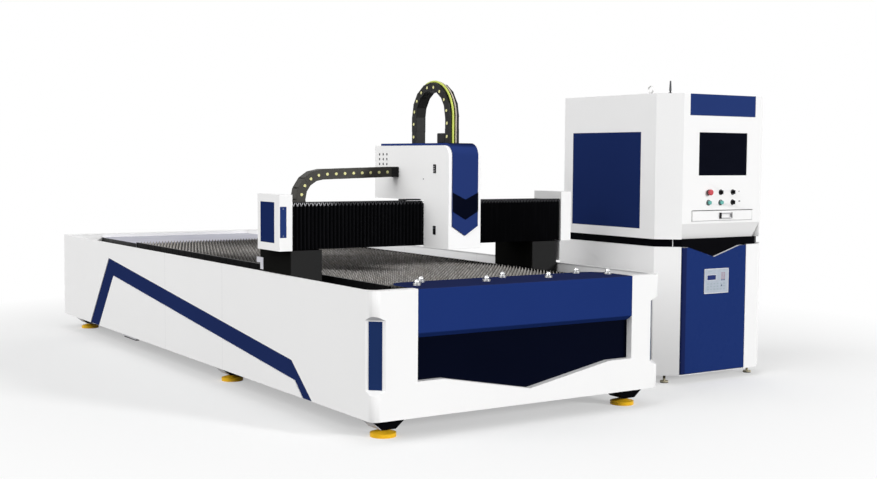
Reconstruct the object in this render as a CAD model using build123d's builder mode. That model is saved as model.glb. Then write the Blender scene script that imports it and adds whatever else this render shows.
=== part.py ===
from build123d import *
from math import pi
import os

# Fiber laser cutting machine: X across the bed, Y along it, Z up from the floor, in millimetres

# Shared values
overrun = 10  # how far a cut reaches past a face
running_gap = 0.3  # clearance of pieces that slide or turn on each other
sheet = 3  # sheet metal of covers and panels
trim = 2  # thickness of glued-on panels

# Bed
bed_width = 2050
bed_length = 5500
bed_height = 818
skirt_height = 115

# Welded side frames and cross members
frame_inset = 30
frame_width = 285
frame_top = 700
frame_end_gap = 130
window_width = 420
window_height = 300
window_radius = 60
window_count = 9
cross_size = 120
cross_wall = 8
cross_base = 140
cross_count = 5

# Cutting table
tray_top = 640
tray_wall = 4
tray_floor_width = 900
tray_end_gap = 420
holder_width = 15
holder_base = 650
holder_top = 798
slat_seat = 720
slat_tip = 805
slat_thickness = 4
slat_end_play = 2
slat_front = 395
slat_back_gap = 1050
slat_count = 32
tooth_count = 24
tooth_depth = 26
rear_deck_gap = 40
rear_deck_top = 790

# Guides of the long axis
rail_size = 30
rail_waist = 22
rail_inset = 175
rail_end_gap = 150
rack_inset = 36
rack_width = 24
rack_height = 30

# Levelling feet
foot_inset = 160
foot_row_shares = (0.029, 0.395, 0.955)
pad_diameter = 146
pad_edge = 22
pad_height = 36
stud_diameter = 24
stud_top = 88
bracket_top_width = 250
bracket_depth = 130
bracket_foot = 85
bracket_height = 68

# Bed covers
cover_flange = 15
corner_radius = 45
return_length = 125
corner_leg = 80
corner_low = 246
corner_high = 692
corner_slope = 34
strip_width = 75
strip_low = 283
strip_high = 652
groove_depth = 8
stripe_outer_shares = ((0.862, 0), (0.773, 0.826), (0.174, 0.294), (0.126, 0))
stripe_inner_shares = ((0.148, 0), (0.167, 0.129), (0.753, 0.632), (0.821, 0))
corner_deck = 60
deck_corner_radius = 60

# Front opening and its panels
opening_half_width = 768
opening_offset = 25
recess_depth = 45
sill_height = 313
sill_dip = 203
sill_shoulder = 175
front_panel_low = 575
front_bevel = 28
front_panel_depth = 350
front_panel_corner = 120
fold_radius = 8

# Ball transfer units
ball_diameter = 30
cup_diameter = 46
cup_height = 12
ball_sink = 4
ball_front_row = 165
ball_back_row = 305
ball_front_shares = (-0.438, -0.13, 0.163, 0.464)
ball_back_shares = (-0.363, 0.01, 0.377)

# Gantry
gantry_setback = 1000
leg_inset = 20
leg_width = 210
leg_length = 430
leg_top = 965
leg_wall = 15
block_cap = 15
block_width = 76
block_length = 110
beam_setback = 60
beam_depth = 230
beam_top = 1205
beam_wall = 12
end_box_width = 85
left_overhang = 60
right_overhang = 90
end_box_lead = 10
end_box_depth = 300
end_box_top = 1300
skirt_drop = 135
skirt_length = 190
side_panel_margin = 46
side_panel_lead = 70
side_panel_trail = 40
strip_panel_width = 42
strip_panel_inset = 4
strip_panel_low = 1045
strip_panel_high = 1229
motor_size = 90
reducer_height = 80
motor_height = 160
motor_setback = 362
motor_case_share = 0.9

# Guides of the cross axis and pleated covers
x_rail_low = 1010
x_rail_high = 1160
bellows_low = 970
bellows_top = 1252
pleat_count = 36
pleat_depth = 22
pleat_cloth = 2
flap_drop = 7

# Carriage and its cover
head_offset = 45
head_width = 240
head_front = 713
head_notch = 996
head_back = 1605
head_low = 962
head_step = 1255
head_top = 1600
head_radius = 70
plate_front = 965
plate_thickness = 25
plate_low = 985
plate_top = 1440
arm_low = 1258
arm_thickness = 15
arm_back = 1480
wrap_width = 190
wrap_thickness = 8
wrap_rise = 15
wrap_back = 1571
wrap_side_low = 1102
wrap_tip = 1043
chevron_top_side = 1310
chevron_top_tip = 1267
chevron_low_side = 1193
chevron_low_tip = 1142
vent_size = 15
vent_column_pitch = 47
vent_row_pitch = 32
vent_y = 1500
vent_z = 1512
socket_width = 28
socket_height = 54
socket_thickness = 4
socket_y = 870
socket_heights = (1455, 1072)

# Drives and vertical axis inside the carriage cover
x_motor_size = 80
x_reducer_height = 75
x_motor_height = 140
x_motor_y = 1225
z_rail_size = 20
z_rail_spread = 140
z_rail_low = 990
z_rail_high = 1280
z_motor_size = 60
z_motor_low = 1290
z_motor_height = 140
screw_diameter = 16
screw_setback = 22
screw_low = 1000
slide_thickness = 20
slide_width = 190
slide_low = 1030
slide_high = 1232
slide_block = 100
slide_block_width = 34
slide_block_depth = 33

# Cutting head
torch_size = 100
torch_depth = 90
torch_low = 1090
torch_high = 1250
collimator_diameter = 70
collimator_top = 1400
lens_tube_diameter = 80
lens_tube_low = 1030
cone_low = 990
cone_diameter = 34
nozzle_diameter = 26
nozzle_tip_diameter = 8
nozzle_low = 968

# Energy chains and laser fiber
x_link_length = 63
z_link_length = 80
link_gap = 0.4
link_wall = 6
x_chain_thickness = 66
x_chain_width = 80
x_chain_y = 1300
x_chain_top = 1463
x_chain_low = 1070
x_chain_left = 205
x_chain_fixed_end = 1000
ledge_thickness = 4
z_chain_thickness = 50
z_chain_width = 75
z_chain_front = 836
z_chain_back = 1276
z_chain_crown = 2000
clamp_depth = 90
clamp_height = 63
fiber_diameter = 13
hose_diameter = 9

# Control cabinet
cabinet_gap = 476
cabinet_setback = 460
cabinet_width = 1026
cabinet_depth = 1083
cabinet_height = 1965
base_extra_depth = 40
corner_cut_x = 142
corner_cut_y = 115
cabinet_sheet = 4
shell_low = 58
band_low = 933
band_high = 985
band_inset = 20
chin_height = 105
chin_depth = 45
header_left = 201
header_width = 625
header_height = 145
screen_left = 290
screen_width = 460
screen_low = 1415
screen_height = 292
screen_lip = 2
bezel = 16
monitor_depth = 45
side_panel_front = 262
side_panel_width = 723
side_panel_low = 1050
side_panel_height = 658
door_left = 142
door_width = 617
door_low = 66
door_thickness = 20
door_gap = 4
door_bevel = 16
notch_half_width = 244
notch_drop = 72
pin_diameter = 10
pin_inset = 14
pin_length = 28
pin_play = 0.05
keypad_left = 358
keypad_width = 231
keypad_low = 605
keypad_height = 171
keypad_thickness = 5
drawer_left = 235
drawer_width = 578
drawer_low = 1105
drawer_height = 70
drawer_face = 12
drawer_depth = 360
drawer_wall = 2
drawer_gap = 2
runner_width = 14
runner_height = 18
handle_left = 259
handle_width = 111
handle_height = 41
handle_thickness = 14
handle_bar = 8
upper_row = 1300
lower_row = 1230
control_columns = (386, 501, 617)
stem_diameter = 16
stem_length = 30
mushroom_diameter = 40
mushroom_height = 14
mushroom_standoff = 16
button_diameter = 26
button_standoff = 13
knob_diameter = 26
knob_height = 10
knob_grip = 8
knob_grip_height = 12
eye_ring = 46
eye_wire = 10
eye_inset = 42
eye_setback = 220
antenna_left = 109
antenna_setback = 100
antenna_height = 85
antenna_base = 12
antenna_tip = 5
cabinet_foot_diameter = 56
cabinet_foot_stud = 18
cabinet_foot_pad = 14
cabinet_foot_inset = 110
source_width = 640
source_depth = 760
source_height = 480
source_rib = 12

# Places worked out from the sizes above
machine_width = left_overhang + bed_width + cabinet_gap + cabinet_width
bed_left = left_overhang - machine_width / 2
bed_right = bed_left + bed_width
bed_middle = (bed_left + bed_right) / 2
opening_middle = bed_middle + opening_offset
bed_front = -bed_length / 2
bed_back = bed_length / 2
middle_plane = Plane.YZ.offset(bed_middle)
frame_outer = bed_left + frame_inset
frame_inner = frame_outer + frame_width
table_width = 2 * (bed_middle - frame_inner)
gantry_front = bed_front + gantry_setback
beam_front = gantry_front + beam_setback
beam_back = beam_front + beam_depth
beam_left = bed_left - left_overhang + end_box_width
beam_right = bed_right + right_overhang - end_box_width
head_middle = bed_middle + head_offset
head_left = head_middle - head_width / 2
plate_width = head_width - 2 * sheet
cabinet_left = bed_right + cabinet_gap
cabinet_front = bed_front + cabinet_setback


def from_left(x):
    """Section plane at x: local axes are Y and Z, and it extrudes to the right."""
    return Plane.YZ.offset(x)


def from_front(y):
    """Section plane at y: local axes are X and Z, and it extrudes to the front."""
    return Plane.XZ.offset(-y)


def from_above(z):
    """Section plane at z: local axes are X and Y, and it extrudes upwards."""
    return Plane.XY.offset(z)


def block(x, y, z, mode=Mode.ADD):
    """A block between two values on each axis, added to the piece being built."""
    with Locations(((x[0] + x[1]) / 2, (y[0] + y[1]) / 2, (z[0] + z[1]) / 2)):
        Box(x[1] - x[0], y[1] - y[0], z[1] - z[0], mode=mode)


# Welded bed frame

frame_length = bed_length - 2 * frame_end_gap
window_pitch = frame_length / window_count
with BuildPart() as side_frames:
    with BuildSketch(from_left(frame_outer)):
        with Locations((0, (skirt_height + frame_top) / 2)):
            Rectangle(frame_length, frame_top - skirt_height)
            with GridLocations(window_pitch, 0, window_count, 1):
                RectangleRounded(window_width, window_height, window_radius, mode=Mode.SUBTRACT)
    extrude(amount=frame_width)
    mirror(about=middle_plane)

cross_pitch = frame_length / cross_count
with BuildPart() as cross_members:
    with BuildSketch(from_left(frame_inner)):
        with Locations((0, cross_base + cross_size / 2)):
            with GridLocations(cross_pitch, 0, cross_count, 1):
                Rectangle(cross_size, cross_size)
                inner_size = cross_size - 2 * cross_wall
                Rectangle(inner_size, inner_size, mode=Mode.SUBTRACT)
    extrude(amount=table_width)

# Cutting table: slag tray, slat holders and serrated slats

tray_low = cross_base + cross_size
with BuildPart() as slag_tray:
    with BuildSketch(from_front(bed_back - tray_end_gap)):
        with Locations((bed_middle, 0)):
            Polygon(
                (-tray_floor_width / 2, tray_low),
                (tray_floor_width / 2, tray_low),
                (table_width / 2, tray_top),
                (-table_width / 2, tray_top),
                align=None,
            )
    extrude(amount=bed_length - 2 * tray_end_gap)
    tray_mouth = slag_tray.faces().sort_by(Axis.Z)[-1]
    offset(amount=-tray_wall, openings=tray_mouth)

slat_start = bed_front + slat_front
slat_end = bed_back - slat_back_gap
slat_pitch = (slat_end - slat_start) / (slat_count - 1)
slat_middle = (slat_start + slat_end) / 2
holder_length = slat_end - slat_start + slat_pitch / 2
with BuildPart() as slat_holders:
    with BuildSketch(from_left(frame_inner)):
        with Locations((slat_middle, (holder_base + holder_top) / 2)):
            Rectangle(holder_length, holder_top - holder_base)
        slot_height = holder_top - slat_seat + overrun
        with Locations((slat_middle, slat_seat + slot_height / 2)):
            with GridLocations(slat_pitch, 0, slat_count, 1):
                Rectangle(slat_thickness + 2 * running_gap, slot_height, mode=Mode.SUBTRACT)
    extrude(amount=holder_width)
    mirror(about=middle_plane)

slat_left = frame_inner + slat_end_play
slat_right = 2 * bed_middle - slat_left
toothed_left = frame_inner + holder_width + slat_end_play
tooth_pitch = 2 * (bed_middle - toothed_left) / tooth_count
tooth_root = slat_tip - tooth_depth
slat_planes = [from_front(slat_start + slat_thickness / 2 + i * slat_pitch) for i in range(slat_count)]
with BuildPart() as slats:
    with BuildSketch(*slat_planes):
        with BuildLine():
            outline = [(slat_right, tooth_root), (slat_right, slat_seat), (slat_left, slat_seat)]
            outline.append((slat_left, tooth_root))
            for i in range(tooth_count):
                outline.append((toothed_left + i * tooth_pitch, tooth_root))
                outline.append((toothed_left + (i + 1 / 2) * tooth_pitch, slat_tip))
            outline.append((toothed_left + tooth_count * tooth_pitch, tooth_root))
            Polyline(*outline, close=True)
        make_face()
    extrude(amount=slat_thickness)

# Rails and racks of the long axis

rail_x = bed_left + rail_inset
rail_top = frame_top + rail_size
rail_length = bed_length - 2 * rail_end_gap
with BuildPart() as y_guides:
    with BuildSketch(from_front(bed_back - rail_end_gap)):
        half = rail_size / 2
        waist = rail_waist / 2
        with Locations((rail_x, frame_top)):
            Polygon(
                (-half, 0),
                (half, 0),
                (half, rail_size / 4),
                (waist, rail_size / 2),
                (half, rail_size * 3 / 4),
                (half, rail_size),
                (-half, rail_size),
                (-half, rail_size * 3 / 4),
                (-waist, rail_size / 2),
                (-half, rail_size / 4),
                align=None,
            )
        with Locations((bed_left + rack_inset + rack_width / 2, frame_top + rack_height / 2)):
            Rectangle(rack_width, rack_height)
    extrude(amount=rail_length)
    mirror(about=middle_plane)

# Levelling feet and their brackets

foot_rows = [bed_front + share * bed_length for share in foot_row_shares]
foot_columns = [bed_left + foot_inset, bed_right - foot_inset]
foot_places = [(x, y) for x in foot_columns for y in foot_rows]
bracket_low = skirt_height - bracket_height
with BuildPart() as foot_brackets:
    with BuildSketch(*[from_front(y + bracket_depth / 2) for y in foot_rows]):
        with Locations(*[(x, 0) for x in foot_columns]):
            Polygon(
                (-bracket_top_width / 2, skirt_height),
                (-bracket_foot / 2, bracket_low),
                (bracket_foot / 2, bracket_low),
                (bracket_top_width / 2, skirt_height),
                align=None,
            )
    extrude(amount=bracket_depth)
    with Locations(*[(x, y, bracket_low) for x, y in foot_places]):
        Cylinder(
            stud_diameter / 2 + running_gap,
            stud_top - bracket_low + running_gap,
            align=(Align.CENTER, Align.CENTER, Align.MIN),
            mode=Mode.SUBTRACT,
        )

with BuildPart() as one_foot:
    with BuildSketch(Plane.XZ):
        Polygon(
            (0, 0),
            (pad_diameter / 2, 0),
            (pad_diameter / 2, pad_edge),
            (stud_diameter, pad_height),
            (stud_diameter / 2, pad_height),
            (stud_diameter / 2, stud_top),
            (0, stud_top),
            align=None,
        )
    revolve(axis=Axis.Z)
with BuildPart() as levelling_feet:
    with Locations(*[(x, y, 0) for x, y in foot_places]):
        add(one_foot.part)

# Side covers with their pressed stripe

cover_length = bed_length - 2 * return_length
cover_span = (-cover_length / 2, cover_length / 2)


def stripe_corners(shares):
    """Corners of the stripe, from shares of a side cover's length and height."""
    rise = bed_height - skirt_height
    return [(bed_front + along * bed_length, skirt_height + up * rise) for along, up in shares]


with BuildSketch(from_left(bed_left)) as stripe:
    Polygon(*stripe_corners(stripe_outer_shares + stripe_inner_shares), align=None)

with BuildPart() as side_covers:
    block((bed_left, bed_left + sheet), cover_span, (skirt_height, bed_height))
    block((bed_left, bed_left + cover_flange), cover_span, (bed_height - sheet, bed_height))
    block((bed_left, frame_outer), cover_span, (skirt_height, skirt_height + sheet))
    with BuildSketch(from_left(bed_left)):
        add(stripe.sketch_local)
        offset(amount=sheet, kind=Kind.INTERSECTION)
        with Locations((0, skirt_height / 2)):
            Rectangle(bed_length, skirt_height, mode=Mode.SUBTRACT)
    extrude(amount=groove_depth + sheet)
    extrude(stripe.sketch, amount=groove_depth, mode=Mode.SUBTRACT)
    mirror(about=middle_plane)

# End covers that wrap the bed's corners


def corner_wedge(corner_x, inward):
    """Cut over one front corner of the bed, running out towards its two ends."""
    heights = (corner_low, corner_low + corner_slope, corner_high - corner_slope, corner_high)
    legs = (trim, corner_leg, corner_leg, trim)
    slices = []
    for height, leg in zip(heights, legs):
        with BuildSketch(from_above(height)) as slice_face:
            with Locations((corner_x, bed_front)):
                Polygon((0, 0), (inward * leg, 0), (0, leg), align=None)
        slices.append(slice_face.sketch.face())
    loft(slices, ruled=True, mode=Mode.SUBTRACT)


with BuildSketch(from_front(bed_front)) as front_opening:
    knee = opening_half_width - sill_shoulder
    with Locations((opening_middle, 0)):
        Polygon(
            (-opening_half_width, bed_height + overrun),
            (-opening_half_width, sill_height),
            (-knee, sill_height),
            (0, sill_dip),
            (knee, sill_height),
            (opening_half_width, sill_height),
            (opening_half_width, bed_height + overrun),
            align=None,
        )

with BuildPart() as front_cover:
    with BuildSketch(from_above(skirt_height)) as front_plan:
        with Locations((bed_middle, bed_front + return_length / 2)):
            Rectangle(bed_width, return_length)
        fillet(front_plan.vertices().group_by(Axis.Y)[0], corner_radius)
    extrude(amount=bed_height - skirt_height)
    corner_wedge(bed_left, 1)
    corner_wedge(bed_right, -1)
    open_sides = [front_cover.faces().sort_by(Axis.Y)[-1], front_cover.faces().sort_by(Axis.Z)[0]]
    offset(amount=-sheet, openings=open_sides)
    with BuildSketch(from_above(bed_height - sheet - overrun)) as deck_cut:
        with Locations((bed_middle, bed_front + (corner_deck + return_length + overrun) / 2)):
            Rectangle(bed_width - 2 * cover_flange, return_length + overrun - corner_deck)
        fillet(deck_cut.vertices().group_by(Axis.Y)[0], deck_corner_radius)
    extrude(amount=sheet + 2 * overrun, mode=Mode.SUBTRACT)
    with BuildSketch(from_front(bed_front + sheet)):
        add(front_opening.sketch_local)
        offset(amount=sheet, kind=Kind.INTERSECTION)
        with Locations((bed_middle, bed_height + bed_height / 2)):
            Rectangle(bed_width, bed_height, mode=Mode.SUBTRACT)
    extrude(amount=-(recess_depth - sheet))
    extrude(front_opening.sketch, amount=-(return_length + overrun), mode=Mode.SUBTRACT)

with BuildPart() as rear_cover:
    with BuildSketch(from_above(skirt_height)) as rear_plan:
        with Locations((bed_middle, bed_back - return_length / 2)):
            Rectangle(bed_width, return_length)
        fillet(rear_plan.vertices().group_by(Axis.Y)[-1], corner_radius)
    extrude(amount=bed_height - skirt_height)
    open_sides = [rear_cover.faces().sort_by(Axis.Y)[0], rear_cover.faces().sort_by(Axis.Z)[0]]
    offset(amount=-sheet, openings=open_sides)
    deck_front = slat_end + rear_deck_gap
    deck_back = bed_back - return_length
    deck_right = 2 * bed_middle - frame_inner
    block((frame_inner, deck_right), (deck_front, deck_back), (holder_base, rear_deck_top))
    block(
        (frame_inner + holder_width, deck_right - holder_width),
        (deck_front + sheet, deck_back + overrun),
        (holder_base - overrun, rear_deck_top - sheet),
        mode=Mode.SUBTRACT,
    )
    block(
        (frame_inner, deck_right),
        (deck_back - sheet - running_gap, deck_back - running_gap),
        (rear_deck_top - sheet, bed_height - sheet - running_gap),
    )

# Panels of the front opening

panel_left = opening_middle - opening_half_width + running_gap
panel_width = 2 * (opening_half_width - running_gap)
with BuildPart() as front_panel:
    with BuildSketch(from_left(panel_left)):
        with BuildLine() as fold:
            FilletPolyline(
                (bed_front + front_panel_depth, bed_height),
                (bed_front, bed_height),
                (bed_front, front_panel_low),
                (bed_front + recess_depth - sheet, front_panel_low - front_bevel),
                radius=fold_radius,
            )
            offset(amount=sheet, side=Side.LEFT)
        make_face()
    extrude(amount=panel_width)
    fillet(front_panel.edges().filter_by(Axis.Z).group_by(Axis.Y)[-1], front_panel_corner)

with BuildPart() as front_recess_panel:
    with BuildSketch(from_front(bed_front + recess_depth + sheet)):
        add(front_opening.sketch_local)
        offset(amount=sheet, kind=Kind.INTERSECTION)
        with Locations((bed_middle, front_panel_low + bed_height / 2)):
            Rectangle(bed_width, bed_height, mode=Mode.SUBTRACT)
    extrude(amount=sheet)

corner_plane = Plane(
    origin=(bed_left + corner_leg / 2, bed_front + corner_leg / 2, 0), x_dir=(1, -1, 0), z_dir=(-1, -1, 0)
)
with BuildPart() as blue_stripes:
    extrude(stripe.sketch.moved(Location((groove_depth - trim, 0, 0))), amount=trim)
    with BuildSketch(corner_plane):
        with Locations((0, (strip_low + strip_high) / 2)):
            Rectangle(strip_width, strip_high - strip_low)
    extrude(amount=trim)
    mirror(about=middle_plane)

# Ball transfer units on the loading edge

ball_rows = ((ball_front_row, ball_front_shares), (ball_back_row, ball_back_shares))
ball_places = []
for row, shares in ball_rows:
    ball_places += [(opening_middle + share * panel_width, bed_front + row) for share in shares]
ball_height = bed_height + ball_sink + ball_diameter / 2
with BuildPart() as ball_cups:
    with Locations(*[(x, y, bed_height) for x, y in ball_places]):
        Cylinder(cup_diameter / 2, cup_height, align=(Align.CENTER, Align.CENTER, Align.MIN))
    with Locations(*[(x, y, ball_height) for x, y in ball_places]):
        Sphere(ball_diameter / 2 + running_gap, mode=Mode.SUBTRACT)
with BuildPart() as transfer_balls:
    with Locations(*[(x, y, ball_height) for x, y in ball_places]):
        Sphere(ball_diameter / 2)

# Gantry legs, beam and end boxes

leg_low = rail_top + block_cap
leg_left = bed_left + leg_inset
leg_back = gantry_front + leg_length
pinion_bay = rail_inset - block_width / 2 - leg_inset - leg_wall
with BuildPart() as left_leg:
    block((leg_left, leg_left + leg_width), (gantry_front, leg_back), (leg_low, leg_top))
    fillet(left_leg.edges().filter_by(Axis.Z), fold_radius)
    block(
        (leg_left + leg_wall, leg_left + leg_wall + pinion_bay),
        (gantry_front + leg_wall, leg_back - leg_wall),
        (leg_low - overrun, leg_top - leg_wall),
        mode=Mode.SUBTRACT,
    )
with BuildPart() as right_leg:
    mirror(left_leg.part, about=middle_plane)

block_rows = [gantry_front + leg_wall + block_length / 2, leg_back - leg_wall - block_length / 2]
with BuildPart() as y_blocks:
    for row in block_rows:
        block(
            (rail_x - block_width / 2, rail_x + block_width / 2),
            (row - block_length / 2, row + block_length / 2),
            (frame_top + rail_size / 4, leg_low),
        )
    block(
        (rail_x - rail_size / 2 - running_gap, rail_x + rail_size / 2 + running_gap),
        (gantry_front, leg_back),
        (frame_top, rail_top + running_gap),
        mode=Mode.SUBTRACT,
    )
    mirror(about=middle_plane)

with BuildPart() as beam:
    with BuildSketch(from_left(beam_left)):
        with Locations((beam_front + beam_depth / 2, (leg_top + beam_top) / 2)):
            Rectangle(beam_depth, beam_top - leg_top)
            inner_height = beam_top - leg_top - 2 * beam_wall
            Rectangle(beam_depth - 2 * beam_wall, inner_height, mode=Mode.SUBTRACT)
    extrude(amount=beam_right - beam_left)
    ledge_back = bed_front + x_chain_y + x_chain_width
    ledge_span = (bed_left + x_chain_left, bed_left + x_chain_fixed_end)
    block(ledge_span, (beam_back, ledge_back), (x_chain_low - ledge_thickness, x_chain_low))

end_box_front = gantry_front - end_box_lead
end_box_span = (end_box_front, end_box_front + end_box_depth)


def end_box(inner_x, outward):
    """Sheet cover of one end of the beam, open underneath."""
    outer_x = inner_x + outward * end_box_width
    x_span = sorted((inner_x, outer_x))
    block(x_span, end_box_span, (leg_top, end_box_top))
    block(
        (x_span[0] + sheet, x_span[1] - sheet),
        (end_box_span[0] + sheet, end_box_span[1] - sheet),
        (leg_top - overrun, end_box_top - sheet),
        mode=Mode.SUBTRACT,
    )


def end_box_side(inner_x, outward, mode):
    """Side panel let into the outer wall of one end box."""
    outer_x = inner_x + outward * end_box_width
    block(
        sorted((outer_x, outer_x - outward * trim)),
        (end_box_span[0] + side_panel_lead, end_box_span[1] - side_panel_trail),
        (leg_top + side_panel_margin, end_box_top - side_panel_margin),
        mode,
    )


def end_box_strip(mode):
    """Strip let into the front wall of the left end box."""
    strip_edge = beam_left - end_box_width + strip_panel_inset
    block(
        (strip_edge, strip_edge + strip_panel_width),
        (end_box_span[0], end_box_span[0] + trim),
        (strip_panel_low, strip_panel_high),
        mode,
    )


with BuildPart() as end_boxes:
    end_box(beam_left, -1)
    end_box(beam_right, 1)
    skirt_front = end_box_span[0] + end_box_lead
    block(
        (beam_right, beam_right + sheet),
        (skirt_front, skirt_front + skirt_length),
        (leg_top - skirt_drop, leg_top),
    )
    end_box_side(beam_left, -1, Mode.SUBTRACT)
    end_box_side(beam_right, 1, Mode.SUBTRACT)
    end_box_strip(Mode.SUBTRACT)

with BuildPart() as end_box_panels:
    end_box_side(beam_left, -1, Mode.ADD)
    end_box_side(beam_right, 1, Mode.ADD)
    end_box_strip(Mode.ADD)

# Drives of the long axis, standing on the legs behind the beam

motor_x = leg_left + leg_wall + pinion_bay / 2 + motor_size / 4
motor_y = gantry_front + motor_setback
with BuildPart() as y_drives:
    half = motor_size / 2
    drive_span = (motor_y - half, motor_y + half)
    reducer_top = leg_top + reducer_height
    block((motor_x - half, motor_x + half), drive_span, (leg_top, reducer_top))
    chamfer(y_drives.edges().filter_by(Axis.Z), motor_size / 8)
    with BuildSketch(from_above(reducer_top)):
        with Locations((motor_x, motor_y)):
            motor_case = motor_size * motor_case_share
            RectangleRounded(motor_case, motor_case, motor_size / 8)
    extrude(amount=motor_height)
    mirror(about=middle_plane)

# Guides of the cross axis

with BuildPart() as x_guides:
    for height in (x_rail_low, x_rail_high):
        block(
            (beam_left, beam_right),
            (beam_front - rail_size, beam_front),
            (height - rail_size / 2, height + rail_size / 2),
        )
    rack_front = beam_front + beam_depth / 2
    block((beam_left, beam_right), (rack_front, rack_front + rack_width), (beam_top, beam_top + rack_width))

# Pleated covers between the end boxes and the carriage


def bellows(start, end):
    """Pleated cover over the beam's front, with a flat flap over its top."""
    pitch = (end - start) / pleat_count
    crest = gantry_front
    root = gantry_front + pleat_depth
    folds = []
    for i in range(pleat_count):
        folds.append((start + i * pitch, root))
        folds.append((start + (i + 1 / 2) * pitch, crest))
    folds.append((end, root))
    back = [(x, y + pleat_cloth) for x, y in reversed(folds)]
    with BuildSketch(from_above(bellows_low)) as plan:
        Polygon(*folds, *back, align=None)
    extrude(plan.sketch, amount=bellows_top - bellows_low)
    flap_top = bellows_top - flap_drop
    block((start, end), (root, beam_back), (flap_top - pleat_cloth, flap_top))


plate_left = head_middle - plate_width / 2
plate_right = head_middle + plate_width / 2
with BuildPart() as left_bellows:
    bellows(beam_left, plate_left)
with BuildPart() as right_bellows:
    bellows(plate_right, beam_right)

# Carriage plate with the blocks that run on the cross rails

plate_span = (bed_front + plate_front, bed_front + plate_front + plate_thickness)
with BuildPart() as carriage_plate:
    block((plate_left, plate_right), plate_span, (plate_low, plate_top))
    block(
        (plate_left, plate_right),
        (plate_span[1], bed_front + arm_back),
        (arm_low, arm_low + arm_thickness),
    )

with BuildPart() as x_blocks:
    block_front = plate_span[1]
    block_back = beam_front - rail_size / 4
    for height in (x_rail_low, x_rail_high):
        for side in (-1, 1):
            middle = head_middle + side * (plate_width - block_length) / 2
            block(
                (middle - block_length / 2, middle + block_length / 2),
                (block_front, block_back),
                (height - block_width / 2, height + block_width / 2),
            )
        block(
            (plate_left - overrun, plate_right + overrun),
            (beam_front - rail_size - running_gap, beam_front),
            (height - rail_size / 2 - running_gap, height + rail_size / 2 + running_gap),
            mode=Mode.SUBTRACT,
        )

# Carriage cover, its blue wrap and inlay

head_right = head_left + head_width
cover_front = bed_front + head_front
cover_notch = bed_front + head_notch
cover_back = bed_front + head_back
with BuildPart() as head_cover:
    with BuildSketch(from_left(head_left)) as cover_side:
        Polygon(
            (cover_front, head_low),
            (cover_notch, head_low),
            (cover_notch, head_step),
            (cover_back, head_step),
            (cover_back, head_top),
            (cover_front, head_top),
            align=None,
        )
        fillet(cover_side.vertices().group_by(Axis.X)[0].sort_by(Axis.Y)[-1], head_radius)
    extrude(amount=head_width)
    with BuildSketch(from_left(head_left + sheet)) as cover_hollow:
        Polygon(
            (cover_front + sheet, head_low - overrun),
            (cover_notch + overrun, head_low - overrun),
            (cover_notch + overrun, head_step - overrun),
            (cover_back - sheet, head_step - overrun),
            (cover_back - sheet, head_top - sheet),
            (cover_front + sheet, head_top - sheet),
            align=None,
        )
        fillet(cover_hollow.vertices().group_by(Axis.X)[0].sort_by(Axis.Y)[-1], head_radius - sheet)
    extrude(amount=plate_width, mode=Mode.SUBTRACT)
    with BuildSketch(from_left(head_left - overrun)):
        with Locations((bed_front + vent_y, vent_z)):
            with GridLocations(vent_column_pitch, vent_row_pitch, 3, 3):
                Rectangle(vent_size, vent_size)
    extrude(amount=head_width + 2 * overrun, mode=Mode.SUBTRACT)

wrap_left = head_middle - wrap_width / 2
with BuildPart() as head_front_panel:
    with BuildSketch(from_left(wrap_left)) as wrap_side:
        Polygon(
            (cover_front - wrap_thickness, wrap_tip),
            (cover_front, wrap_tip),
            (cover_front, head_top),
            (bed_front + wrap_back, head_top),
            (bed_front + wrap_back, head_top + wrap_rise),
            (cover_front - wrap_thickness, head_top + wrap_rise),
            align=None,
        )
        outer_corner = wrap_side.vertices().group_by(Axis.X)[0].sort_by(Axis.Y)[-1]
        fillet(outer_corner, head_radius + wrap_thickness)
        inner_corner = wrap_side.vertices().sort_by_distance((cover_front, head_top))[0]
        fillet(inner_corner, head_radius)
    extrude(amount=wrap_width)
    with BuildSketch(from_front(cover_front + overrun)):
        Polygon(
            (wrap_left - overrun, wrap_side_low),
            (wrap_left, wrap_side_low),
            (head_middle, wrap_tip),
            (wrap_left + wrap_width, wrap_side_low),
            (wrap_left + wrap_width + overrun, wrap_side_low),
            (wrap_left + wrap_width + overrun, wrap_tip - overrun),
            (wrap_left - overrun, wrap_tip - overrun),
            align=None,
        )
    extrude(amount=wrap_thickness + 2 * overrun, mode=Mode.SUBTRACT)

with BuildPart() as head_chevron:
    with BuildSketch(from_front(cover_front - wrap_thickness)):
        Polygon(
            (wrap_left, chevron_top_side),
            (wrap_left, chevron_low_side),
            (head_middle, chevron_low_tip),
            (wrap_left + wrap_width, chevron_low_side),
            (wrap_left + wrap_width, chevron_top_side),
            (head_middle, chevron_top_tip),
            align=None,
        )
    extrude(amount=trim)

with BuildPart() as head_sockets:
    for height in socket_heights:
        block(
            (head_left - socket_thickness, head_left),
            (bed_front + socket_y - socket_width / 2, bed_front + socket_y + socket_width / 2),
            (height - socket_height / 2, height + socket_height / 2),
        )

# Drive of the cross axis and the vertical axis

with BuildPart() as x_drive:
    half = x_motor_size / 2
    drive_y = bed_front + x_motor_y
    drive_low = arm_low + arm_thickness
    reducer_top = drive_low + x_reducer_height
    drive_span = (drive_y - half, drive_y + half)
    block((head_middle - half, head_middle + half), drive_span, (drive_low, reducer_top))
    chamfer(x_drive.edges().filter_by(Axis.Z), x_motor_size / 8)
    with BuildSketch(from_above(reducer_top)):
        with Locations((head_middle, drive_y)):
            motor_case = x_motor_size * motor_case_share
            RectangleRounded(motor_case, motor_case, x_motor_size / 8)
    extrude(amount=x_motor_height)

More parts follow.
